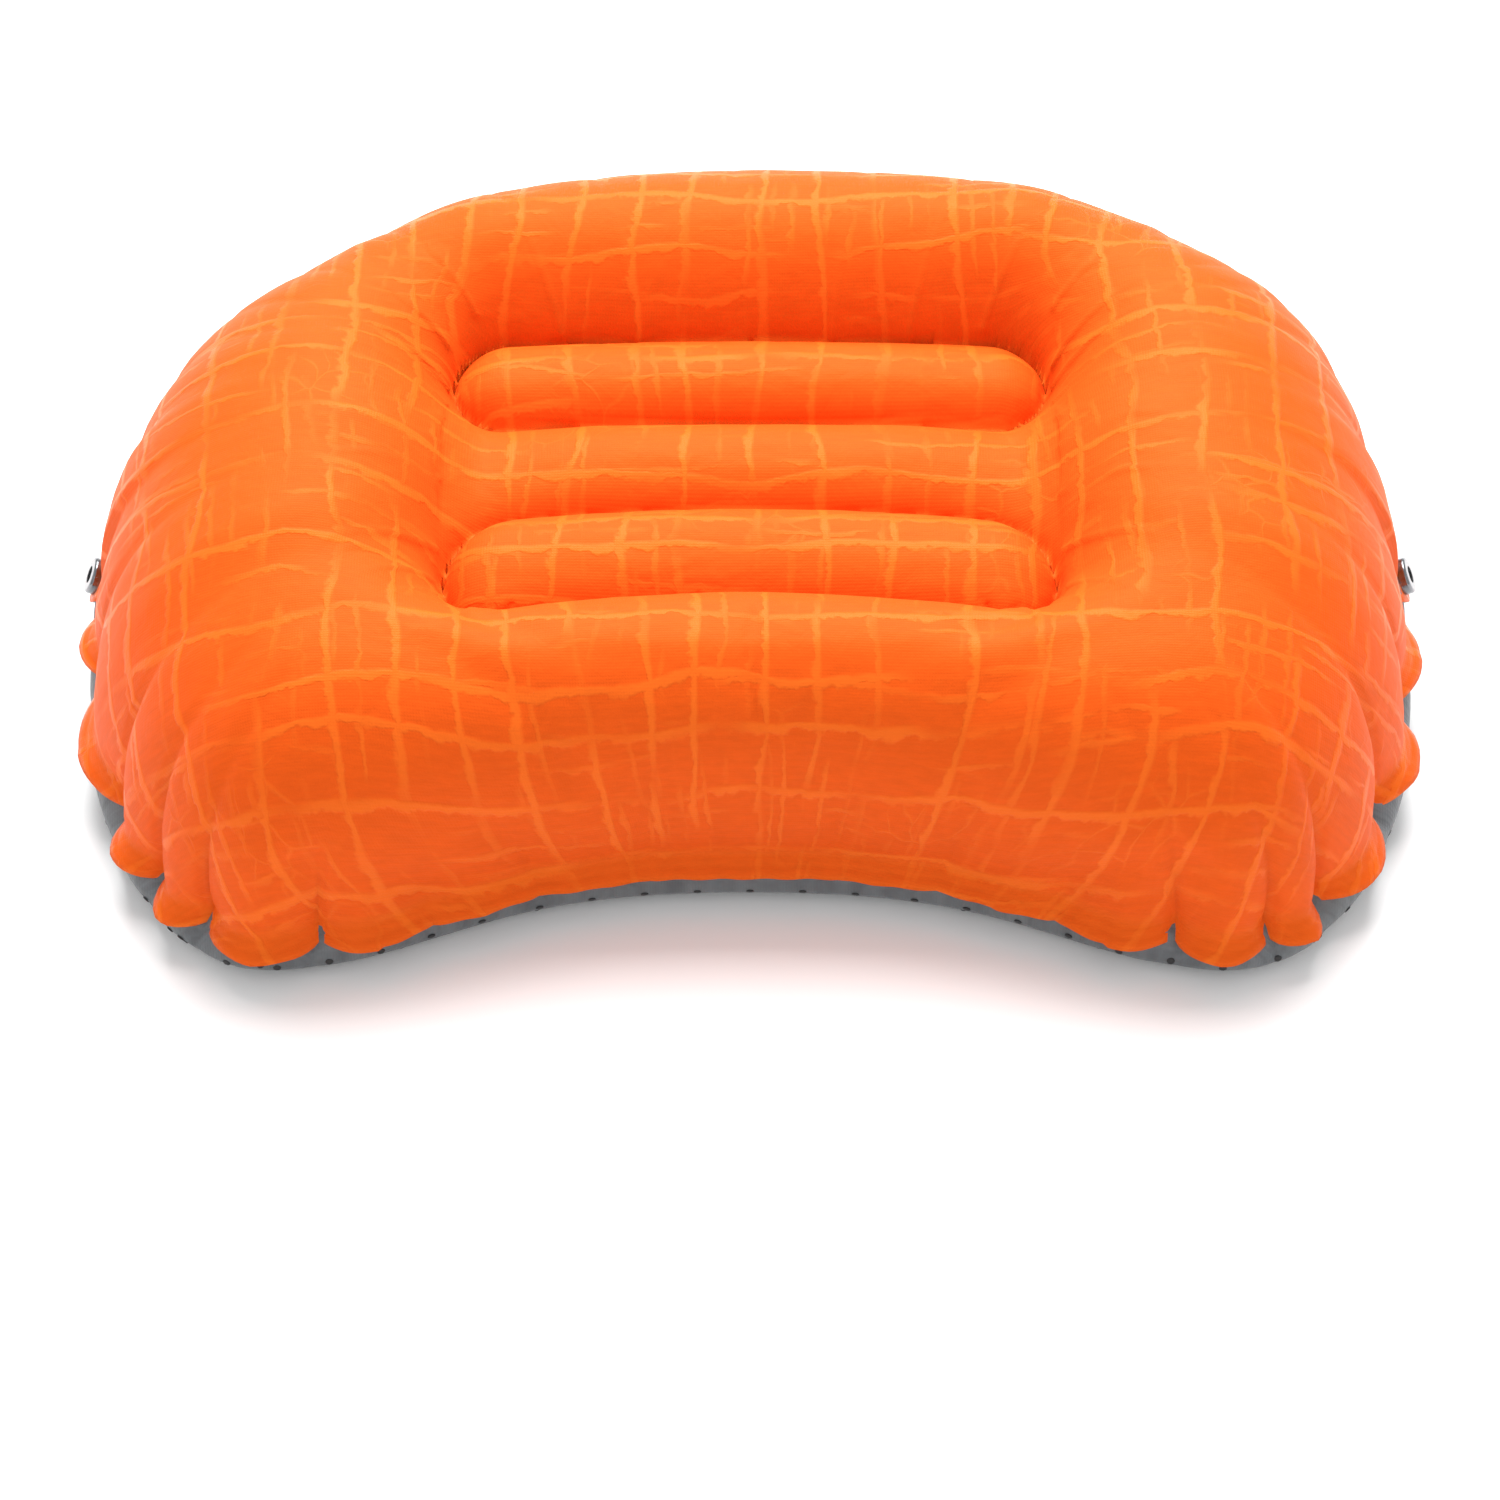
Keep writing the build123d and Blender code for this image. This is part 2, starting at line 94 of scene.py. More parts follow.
NOTCH_PULL = 1.15  # how far a notch draws the cloth in, as a share of its depth
LOBE_PUFF = 0.25  # how far a lobe stands out between its notches, as a share of their depth

# ---- the sunken middle, in millimetres --------------------------------------------------------------
WELL_X = 100.0
WELL_FRONT = -56.0
WELL_BACK = 63.0
TUBES = [(-34.5, 21.5), (44.0, 19.0)]  # the closed tubes, as (Y of the axis, half width)
MIDDLE_TUBE = 19.0  # half width of the tube between them
TUBE_END = 98.0
TUBE_SAG = 1.2  # the tubes' ends lie this much lower
OUTER_VALLEY_Z = 67.8
INNER_VALLEY_Z = 71.4
TUBE_LEAST = 1.0  # least height of a closed tube over its valley
# Half widths of the ridges, from their valley to their crest.
FRONT_RIDGE = 31.0
BACK_RIDGE = 36.0
SIDE_RIDGE = 48.0
CORNER_REACH = 34.0  # the ridges' corners are rounded over this distance

# ---- the valve, in millimetres ----------------------------------------------------------------------
VALVE_AT = (0.0, 134.5, 62.5)
VALVE_LEAN = radians(14)
VALVE_PATCH = 18.5  # the wall is flat this far round the valve
NECK_MIDDLE = 11.7  # middle of the neck's wall
NECK_NEAR = 4.0  # the wall's cloth lies within this distance of the valve's plane
# Each lid's strap in the valve's plane, in millimetres: where it starts up the wall, its hinge line, the
# height of its lower and upper run out of the wall, and its width.
LID_STRAP = dict(start=12.3, hinge=15.2, low=3.4, high=4.6, width=7.6)
CAP_STRAP = dict(start=6.4, hinge=9.4, low=6.4, high=7.6, width=4.7)

# ---- meshes and simulation --------------------------------------------------------------------------
GRID_X = 180  # quads across the sunken middle
GRID_Y = 110
INFLATE_FRAMES = 20
# Points beside the seam that the corners of the sunken middle are joined to.
ANCHORS = [(-180, -133), (180, -133), (152, 110), (-152, 110)]


# ---- properties -----------------------------------------------------------------------------------
class PillowCloth(bpy.types.PropertyGroup):
    shell_color: FloatVectorProperty(
        name="Shell colour", description="Upper cloth", subtype="COLOR", default=(0.75, 0.09, 0.008))
    line_color: FloatVectorProperty(
        name="Emboss colour", description="Embossed lines of the upper cloth", subtype="COLOR",
        default=(0.86, 0.165, 0.017))
    base_color: FloatVectorProperty(
        name="Base colour", description="Lower cloth", subtype="COLOR", default=(0.095, 0.104, 0.112))
    thickness: FloatProperty(
        name="Cloth thickness", description="Laminated cloth", unit="LENGTH", default=0.4 * MM)
    flange_width: FloatProperty(
        name="Flange width", description="Welded edge round the pillow", unit="LENGTH", default=8.5 * MM)
    tube_rise: FloatProperty(
        name="Tube rise", description="Height of a tube over its valleys", unit="LENGTH", default=17 * MM)
    front_rise: FloatProperty(
        name="Neck ridge rise", description="Height over the valleys", unit="LENGTH", default=35 * MM)
    back_rise: FloatProperty(
        name="Back ridge rise", description="Height over the valleys", unit="LENGTH", default=40 * MM)
    side_rise: FloatProperty(
        name="Side ridge rise", description="Height over the valleys", unit="LENGTH", default=41 * MM)
    pressure: FloatProperty(
        name="Air pressure", description="Pressure that the cloth is inflated with", default=30.0)
    swell_limit: FloatProperty(
        name="Swell limit", description="Furthest that the air moves the cloth", unit="LENGTH",
        default=6 * MM)


class PillowDots(bpy.types.PropertyGroup):
    radius: FloatProperty(name="Dot radius", description="Printed dot", unit="LENGTH", default=1.3 * MM)
    height: FloatProperty(
        name="Dot height", description="Proud of the cloth", unit="LENGTH", default=0.3 * MM)
    pitch: FloatProperty(name="Dot pitch", description="Across a row", unit="LENGTH", default=17 * MM)
    color: FloatVectorProperty(
        name="Dot colour", description="Printed silicone", subtype="COLOR", default=(0.012, 0.012, 0.013))


class PillowHardware(bpy.types.PropertyGroup):
    metal_color: FloatVectorProperty(
        name="Snap colour", description="Dark nickel", subtype="COLOR", default=(0.2, 0.205, 0.215))
    valve_color: FloatVectorProperty(
        name="Valve colour", description="Moulded valve", subtype="COLOR", default=(0.02, 0.02, 0.022))
    edge_round: FloatProperty(
        name="Edge round", description="Rounding of the moulded and pressed edges", unit="LENGTH",
        default=0.25 * MM)
    strap_thickness: FloatProperty(
        name="Strap thickness", description="Straps of the two lids", unit="LENGTH", default=0.9 * MM)


class PillowStage(bpy.types.PropertyGroup):
    floor_color: FloatVectorProperty(
        name="Floor colour", description="Pale floor", subtype="COLOR", default=(0.95, 0.95, 0.95))
    camera_distance: FloatProperty(
        name="Camera distance", description="To the pillow's middle", unit="LENGTH", default=1.5)
    camera_tilt: FloatProperty(
        name="Camera tilt", description="Above the horizon", subtype="ANGLE", default=radians(48))
    camera_lens: FloatProperty(
        name="Camera lens", description="Focal length in millimetres", default=109.5)
    key_power: FloatProperty(
        name="Key light", description="Large light from above the back", unit="POWER", default=58.0)
    fill_power: FloatProperty(
        name="Fill light", description="Light from the front", unit="POWER", default=4.0)
    side_share: FloatProperty(
        name="Side lights", description="Power of each side light, as a share of the fill light",
        default=0.4)
    surround: FloatProperty(name="Surround", description="Strength of the white surround", default=0.72)


# ---- small helpers --------------------------------------------------------------------------------
def smooth(low, high, value):
    """0 below low, 1 above high, and an even rise between."""
    t = np.clip((value - low) / (high - low), 0.0, 1.0)
    return t * t * (3 - 2 * t)


def blend(low, high, weight):
    """From low to high as the weight goes from 0 to 1."""
    return low + (high - low) * weight


def closed_spline(points, steps=60):
    """A dense closed cubic spline through the points."""
    points = np.array(points, float)
    spans = np.linalg.norm(np.roll(points, -1, 0) - points, axis=1)
    count = len(points)
    system = np.zeros((count, count))
    right = np.zeros((count, 2))
    for i in range(count):
        after = (i + 1) % count
        system[i, i - 1] += spans[i - 1]
        system[i, i] += 2 * (spans[i - 1] + spans[i])
        system[i, after] += spans[i]
        slope_after = (points[after] - points[i]) / spans[i]
        slope_before = (points[i] - points[i - 1]) / spans[i - 1]
        right[i] = 6 * (slope_after - slope_before)
    bends = np.linalg.solve(system, right)
    stretches = []
    for i in range(count):
        after = (i + 1) % count
        span = spans[i]
        t = np.linspace(0, span, steps, endpoint=False)[:, None]
        left_part = bends[i] * (span - t) ** 3 + bends[after] * t ** 3
        start = (points[i] / span - bends[i] * span / 6) * (span - t)
        end = (points[after] / span - bends[after] * span / 6) * t
        stretches.append(left_part / (6 * span) + start + end)
    return np.concatenate(stretches)


def nearest(loop, point):
    """Index of the loop's point that is nearest to a point."""
    return int(np.argmin(np.linalg.norm(loop - np.array(point[:2]), axis=1)))


def along(loop, start, end, count):
    """Evenly spaced points on a closed loop, from one of its points up to but not with another."""
    if end <= start:
        end += len(loop)
    stretch = loop[np.arange(start, end + 1) % len(loop)]
    length = np.concatenate([[0], np.cumsum(np.linalg.norm(np.diff(stretch, axis=0), axis=1))])
    wanted = np.linspace(0, length[-1], count, endpoint=False)
    return np.stack([np.interp(wanted, length, stretch[:, k]) for k in (0, 1)], axis=1)


def new_mesh(name, vertices, faces, uv=None):
    """An object in the scene from a list of points in metres and faces."""
    mesh = bpy.data.meshes.new(name)
    mesh.from_pydata([tuple(v) for v in vertices], [], [tuple(f) for f in faces])
    mesh.update()
    if uv is not None:
        layer = mesh.uv_layers.new(name="cloth_flat")
        corner_vertex = np.zeros(len(mesh.loops), dtype=np.int32)
        mesh.loops.foreach_get("vertex_index", corner_vertex)
        layer.data.foreach_set("uv", np.asarray(uv, dtype=np.float32)[corner_vertex].ravel())
    thing = bpy.data.objects.new(name, mesh)
    bpy.context.scene.collection.objects.link(thing)
    return thing


def only(thing):
    """Selects this object alone and makes it the active one."""
    bpy.ops.object.select_all(action="DESELECT")
    thing.select_set(True)
    bpy.context.view_layer.objects.active = thing


def apply_all(thing):
    """Applies the object's modifiers in their order."""
    only(thing)
    for modifier in list(thing.modifiers):
        bpy.ops.object.modifier_apply(modifier=modifier.name)


def points_of(thing):
    """The mesh's points as rows of three, in metres."""
    flat = np.zeros(len(thing.data.vertices) * 3, dtype=np.float32)
    thing.data.vertices.foreach_get("co", flat)
    return flat.reshape(-1, 3).astype(float)


def set_points(thing, points):
    thing.data.vertices.foreach_set("co", np.asarray(points, dtype=np.float32).ravel())
    thing.data.update()


def give_material(thing, name):
    """Gives the whole object one material."""
    thing.data.materials.clear()
    thing.data.materials.append(bpy.data.materials[name])


def shade_smooth(thing):
    for face in thing.data.polygons:
        face.use_smooth = True


def thicken(thing, cloth):
    """Gives the sheet its thickness, inwards from its outer face, and keeps the result."""
    shell = thing.modifiers.new("thickness", "SOLIDIFY")
    shell.thickness = cloth.thickness
    shell.offset = -1.0
    shell.use_even_offset = False
    apply_all(thing)
    shade_smooth(thing)


# ---- the pillow's plan ----------------------------------------------------------------------------
def seam_plan():
    """Matching loops of the seam's edge and of the sunken middle's rim, and the seam's outward normals."""
    loop = closed_spline(OUTLINE)
    corners = [nearest(loop, anchor) for anchor in ANCHORS]
    counts = [GRID_X, GRID_Y, GRID_X, GRID_Y]
    sides = [along(loop, corners[i], corners[(i + 1) % 4], counts[i]) for i in range(4)]
    edge = np.concatenate(sides)
    across = np.linspace(-WELL_X, WELL_X, GRID_X + 1)
    up = np.linspace(WELL_FRONT, WELL_BACK, GRID_Y + 1)
    rim = [(x, WELL_FRONT) for x in across[:-1]] + [(WELL_X, y) for y in up[:-1]]
    rim += [(x, WELL_BACK) for x in across[:0:-1]] + [(-WELL_X, y) for y in up[:0:-1]]
    ahead = np.roll(edge, -1, 0) - np.roll(edge, 1, 0)
    outward = np.stack([ahead[:, 1], -ahead[:, 0]], axis=1)
    outward /= np.linalg.norm(outward, axis=1)[:, None]
    return edge, np.array(rim), outward


def gathers(edge):
    """At each point of the seam: 0 in a notch to 1 in a lobe's middle, and the nearest notch's depth."""
    steps = np.linalg.norm(np.roll(edge, -1, 0) - edge, axis=1)
    place = np.concatenate([[0], np.cumsum(steps)])
    total = place[-1]
    place = place[:-1]
    notches = sorted((place[nearest(edge, spot)], spot[2]) for spot in RIGHT_NOTCHES + LEFT_NOTCHES)
    notches.append((notches[0][0] + total, notches[0][1]))
    lobe = np.zeros(len(edge))
    depth = np.zeros(len(edge))
    for (start, start_depth), (end, end_depth) in zip(notches, notches[1:]):
        for shift in (0, total):
            share = (place + shift - start) / (end - start)
            inside = (share >= 0) & (share < 1)
            lobe[inside] = np.sin(pi * share[inside])
            depth[inside] = np.where(share[inside] < 0.5, start_depth, end_depth)
    return lobe, depth


def drawn_in(plan, above):
    """How far the cloth is drawn in at a height above the seam: narrower and less deep further up."""
    above = np.maximum(above, 0)
    sharp = 0.3 + 0.4 * np.exp(-above / 9.0)
    notch = NOTCH_PULL * np.exp(-above / 34.0) * (1 - plan["lobe"] ** sharp)
    return plan["depth"] * (notch - puffed(plan["lobe"], above))


def puffed(lobe, above=0.0):
    """How far a lobe stands out at a height above the seam, as a share of its notches' depth."""
    return LOBE_PUFF * lobe * np.exp(-(above / 25.0) ** 2)


def well_shape(x, y):
    """The upper cloth's height at points of the plan, the half width of the ridge there, and how far the
    point lies outside the closed tubes, which is below zero inside them. In millimetres."""
    cloth = bpy.context.scene.pillow_cloth
    # Tubes and valleys turn towards the neck at their ends, the front ones most.
    bowed = y + blend(3.0, 10.0, smooth(14, -40, y)) * (x / WELL_X) ** 2
    outside = np.full(np.shape(x), 1e3)
    inside = np.full(np.shape(x), 0.0)
    for tube_y, half_width in TUBES:
        past_end = np.maximum(np.abs(x) - (TUBE_END - half_width), 0)
        from_axis = np.sqrt(past_end ** 2 + (bowed - tube_y) ** 2)
        outside = np.minimum(outside, from_axis - half_width)
        inside = np.maximum(inside, 1 - np.minimum(from_axis / half_width, 1) ** 2)
    far = np.abs(x)
    front = smooth(-20, -46, bowed)
    back = smooth(32, 58, bowed)
    side = smooth(84, 128, far)
    middle_rise = 14.5 - 3.5 * smooth(45, 88, far)
    rise = middle_rise * (1 - front - back) + cloth.front_rise / MM * front + cloth.back_rise / MM * back
    slack = 6.0 * smooth(30, 100, y) + 4.0 * smooth(-50, -110, y)
    tilt = 3.0 * smooth(0, 80, y) * np.clip(x / 130, -1, 1)
    rise = blend(rise, cloth.side_rise / MM - slack, side) + tilt
    width = MIDDLE_TUBE * (1 - front - back) + FRONT_RIDGE * front + BACK_RIDGE * back
    width = blend(width, SIDE_RIDGE, side)
    between = smooth(-44, -20, bowed) * smooth(56, 32, bowed)
    valley = blend(OUTER_VALLEY_Z, INNER_VALLEY_Z, between)
    valley = valley + 2.0 * back
    out = np.sqrt(np.maximum(outside, 0) ** 2 + 0.5)
    share = np.clip(out / width, 0, 1)
    ridge = rise * np.sqrt(1 - (1 - share) ** 2)
    tube = (cloth.tube_rise / MM) * np.sqrt(inside)
    sag = TUBE_SAG * (x / WELL_X) ** 2
    height = valley + np.where(outside > 0, ridge, np.maximum(tube, TUBE_LEAST))
    height = height - np.where(outside > 0, 0, sag)
    return height, width, outside


def cloth_rings():
    """What both panels share: plan loops, gathers, the flange's root and its width, in millimetres."""
    cloth = bpy.context.scene.pillow_cloth
    edge, rim, outward = seam_plan()
    lobe, depth = gathers(edge)
    to_rim = rim - edge
    reach = np.linalg.norm(to_rim, axis=1)
    inward = to_rim / reach[:, None]
    beside_snap = smooth(15, 9, np.abs(edge[:, 1] - SNAP_Y)) * (np.abs(edge[:, 0]) > WELL_X)
    root_in = blend(ROOT_IN, TAB_ROOT_IN, beside_snap)
    droop = blend(FLANGE_DROOP, TAB_DROOP, beside_snap)
    depth = depth * (1 - beside_snap)
    drawn = depth * (NOTCH_PULL * (1 - lobe ** 0.7) - puffed(lobe))
    width = cloth.flange_width / MM * (1 - 0.04 * drawn)
    round_tab = np.sqrt(np.maximum(TAB_RADIUS ** 2 - (edge[:, 1] - SNAP_Y) ** 2, 0)) + TAB_RADIUS
    on_tab = (np.abs(edge[:, 1] - SNAP_Y) < TAB_RADIUS) & (np.abs(edge[:, 0]) > WELL_X)
    width = np.where(on_tab, round_tab, width)
    root = edge + inward * root_in[:, None]
    root_z = ROOT_Z + edge[:, 1] * tan(LEAN)
    return dict(edge=edge, rim=rim, outward=outward, drawn=drawn, lobe=lobe, depth=depth, reach=reach,
                inward=inward, root_in=root_in, droop=droop, width=width, root=root, root_z=root_z,
                beside_snap=beside_snap)


def flange_ring(plan, share, under=0.0):
    """A ring of the flange, at a share of its width from the root, moved under by a thickness."""
    out = plan["outward"]
    level = plan["width"] * share
    wave = 0.35 * np.sin(np.arange(len(out)) * 0.9) * share * (1 - plan["beside_snap"])
    flat = plan["root"] + out * (level * np.cos(plan["droop"]) - under * np.sin(plan["droop"]))[:, None]
    flat = flat - out * plan["drawn"][:, None]
    z = plan["root_z"] - level * np.sin(plan["droop"]) - under * np.cos(plan["droop"]) + wave
    z = z - 0.25 * np.maximum(plan["drawn"], 0) * share
    return np.column_stack([flat, z])


def stitch(count, ring_count):
    """Quads between rings of count points that follow each other."""
    faces = []
    for k in range(ring_count - 1):
        for i in range(count):
            j = (i + 1) % count
            faces.append((k * count + i, k * count + j, (k + 1) * count + j, (k + 1) * count + i))
    return faces


def well_grid(first, count):
    """Quads of the grid inside the last ring, whose count points come just before the index first.
    Returns the inner grid points' plan and the faces."""
    across = np.linspace(-WELL_X, WELL_X, GRID_X + 1)
    up = np.linspace(WELL_FRONT, WELL_BACK, GRID_Y + 1)
    index = np.zeros((GRID_Y + 1, GRID_X + 1), dtype=int)
    last = first - count
    index[0, :-1] = last + np.arange(GRID_X)
    index[:-1, -1] = last + GRID_X + np.arange(GRID_Y)
    index[-1, :0:-1] = last + GRID_X + GRID_Y + np.arange(GRID_X)
    index[:0:-1, 0] = last + 2 * GRID_X + GRID_Y + np.arange(GRID_Y)
    plan = []
    for j in range(1, GRID_Y):
        for i in range(1, GRID_X):
            index[j, i] = first + len(plan)
            plan.append((across[i], up[j]))
    faces = []
    for j in range(GRID_Y):
        for i in range(GRID_X):
            faces.append((index[j, i], index[j, i + 1], index[j + 1, i + 1], index[j + 1, i]))
    return np.array(plan), faces


def valve_frame():
    """Matrix of the valve's plane, in metres: x along the wall, y up it and z straight out of it."""
    out = Vector((0, cos(VALVE_LEAN), sin(VALVE_LEAN)))
    along_wall = Vector((-1, 0, 0))
    turn = Matrix((along_wall, out.cross(along_wall), out)).transposed().to_4x4()
    return Matrix.Translation(Vector(VALVE_AT) * MM) @ turn


def in_valve_frame(points):
    """Points in the valve's own frame, in metres, and their distance from its axis, in millimetres."""
    to_valve = np.array(valve_frame().inverted())
    local = points @ to_valve[:3, :3].T + to_valve[:3, 3]
    return local, np.hypot(local[:, 0], local[:, 1]) / MM


def flatten_patch(points):
    """Draws the back wall flat around the valve. Points in metres."""
    local, far = in_valve_frame(points)
    near = np.abs(local[:, 2]) < 20 * MM
    weight = smooth(VALVE_PATCH + 6, VALVE_PATCH, far) * near
    local[:, 2] *= 1 - weight
    from_valve = np.array(valve_frame())
    return local @ from_valve[:3, :3].T + from_valve[:3, 3]


def open_neck(thing):
    """Cuts the hole in the back wall that the valve's neck passes through."""
    hole = NECK_MIDDLE * MM
    to_valve = valve_frame().inverted()
    from_valve = valve_frame()
    work = bmesh.new()
    work.from_mesh(thing.data)
    inside = []
    for face in work.faces:
        local = to_valve @ face.calc_center_median()
        if abs(local.z) < NECK_NEAR * MM and local.xy.length < hole:
            inside.append(face)
    bmesh.ops.delete(work, geom=inside, context="FACES")
    for vertex in work.verts:
        local = to_valve @ vertex.co
        if vertex.is_boundary and abs(local.z) < NECK_NEAR * MM and local.xy.length < 2 * hole:
            flat = local.xy.normalized() * hole
            vertex.co = from_valve @ Vector((flat.x, flat.y, 0))
    work.to_mesh(thing.data)
    work.free()


# ---- shader groups --------------------------------------------------------------------------------
class Nodes:
    """Short calls for adding and linking shader nodes in one tree."""

    def __init__(self, tree):
        self.tree = tree

    def add(self, kind, **settings):
        node = self.tree.nodes.new("ShaderNode" + kind)
        for key, value in settings.items():
            setattr(node, key, value)
        return node

    def link(self, start, end):
        self.tree.links.new(start, end)

    def put(self, node, **values):
        """Sets or links inputs by name, with _ for a space."""
        for key, value in values.items():
            socket = node.inputs[key.replace("_", " ")]
            if isinstance(value, bpy.types.NodeSocket):
                self.link(value, socket)
            else:
                socket.default_value = value
        return node

    def math(self, operation, first, second=None, clamp=False):
        node = self.add("Math", operation=operation, use_clamp=clamp)
        for i, value in enumerate((first, second)):
            if isinstance(value, bpy.types.NodeSocket):
                self.link(value, node.inputs[i])
            elif value is not None:
                node.inputs[i].default_value = value
        return node.outputs[0]

    def noise(self, vector, scale, detail=2.0, rough=0.5, distortion=0.0):
        node = self.add("TexNoise")
        self.put(node, Vector=vector, Scale=scale, Detail=detail, Roughness=rough, Distortion=distortion)
        return node

    def remap(self, value, low, high, to_low=0.0, to_high=1.0):
        node = self.add("MapRange", interpolation_type="SMOOTHSTEP")
        self.put(node, Value=value, From_Min=low, From_Max=high, To_Min=to_low, To_Max=to_high)
        return node.outputs[0]

    def bump(self, height, distance, strength, before=None):
        """A bump, on top of the one before it if there is one."""
        node = self.put(self.add("Bump"), Height=height, Distance=distance, Strength=strength)
        if before is not None:
            self.link(before, node.inputs["Normal"])
        return node.outputs["Normal"]

    def stretched(self, vector, scale):
        """The vector scaled by three factors, which draws a pattern out along an axis."""
        node = self.put(self.add("Mapping"), Vector=vector)
        node.inputs["Scale"].default_value = scale
        return node.outputs["Vector"]

    def mix(self, factor, first, second):
        node = self.add("Mix", data_type="RGBA")
        for socket, value in ((node.inputs[0], factor), (node.inputs[6], first), (node.inputs[7], second)):
            if isinstance(value, bpy.types.NodeSocket):
                self.link(value, socket)
            elif isinstance(value, (int, float)):
                socket.default_value = value
            else:
                socket.default_value = (*value, 1.0)
        return node.outputs[2]


def new_group(name, inputs, outputs):
    """A shader node group with named sockets. Returns its Nodes, its input node and its output node."""
    tree = bpy.data.node_groups.new(name, "ShaderNodeTree")
    for label, kind, default in inputs:
        socket = tree.interface.new_socket(label, in_out="INPUT", socket_type="NodeSocket" + kind)
        if default is not None:
            socket.default_value = default
    for label, kind in outputs:
        tree.interface.new_socket(label, in_out="OUTPUT", socket_type="NodeSocket" + kind)
    nodes = Nodes(tree)
    return nodes, nodes.tree.nodes.new("NodeGroupInput"), nodes.tree.nodes.new("NodeGroupOutput")


def weave_group():
    """Plain woven threads: their height, and a tone that varies from thread to thread."""
    nodes, start, end = new_group(
        "woven_threads", [("Vector", "Vector", None), ("Pitch", "Float", 0.0008)],
        [("Height", "Float"), ("Tone", "Float")])
    split = nodes.add("SeparateXYZ")
    nodes.put(split, Vector=start.outputs["Vector"])
    turns = nodes.math("DIVIDE", pi, start.outputs["Pitch"])
    over = nodes.math("SINE", nodes.math("MULTIPLY", split.outputs["X"], turns))
    under = nodes.math("SINE", nodes.math("MULTIPLY", split.outputs["Y"], turns))
    crossing = nodes.math("MULTIPLY", nodes.math("ABSOLUTE", over), nodes.math("ABSOLUTE", under))
    grain = nodes.noise(start.outputs["Vector"], 900.0, 3.0, 0.6)
    slub = nodes.noise(start.outputs["Vector"], 60.0, 4.0, 0.65)
    height = nodes.math("ADD", crossing, nodes.math("MULTIPLY", grain.outputs["Fac"], 0.8))
    threads = nodes.noise(nodes.stretched(start.outputs["Vector"], (0.18, 1, 1)), 620.0, 2.0, 0.6)
    tone = nodes.math("ADD", nodes.math("MULTIPLY", threads.outputs["Fac"], 0.6),
                      nodes.math("MULTIPLY", slub.outputs["Fac"], 0.4))
    nodes.link(nodes.math("ADD", height, threads.outputs["Fac"]), end.inputs["Height"])
    nodes.link(tone, end.inputs["Tone"])
    return nodes.tree


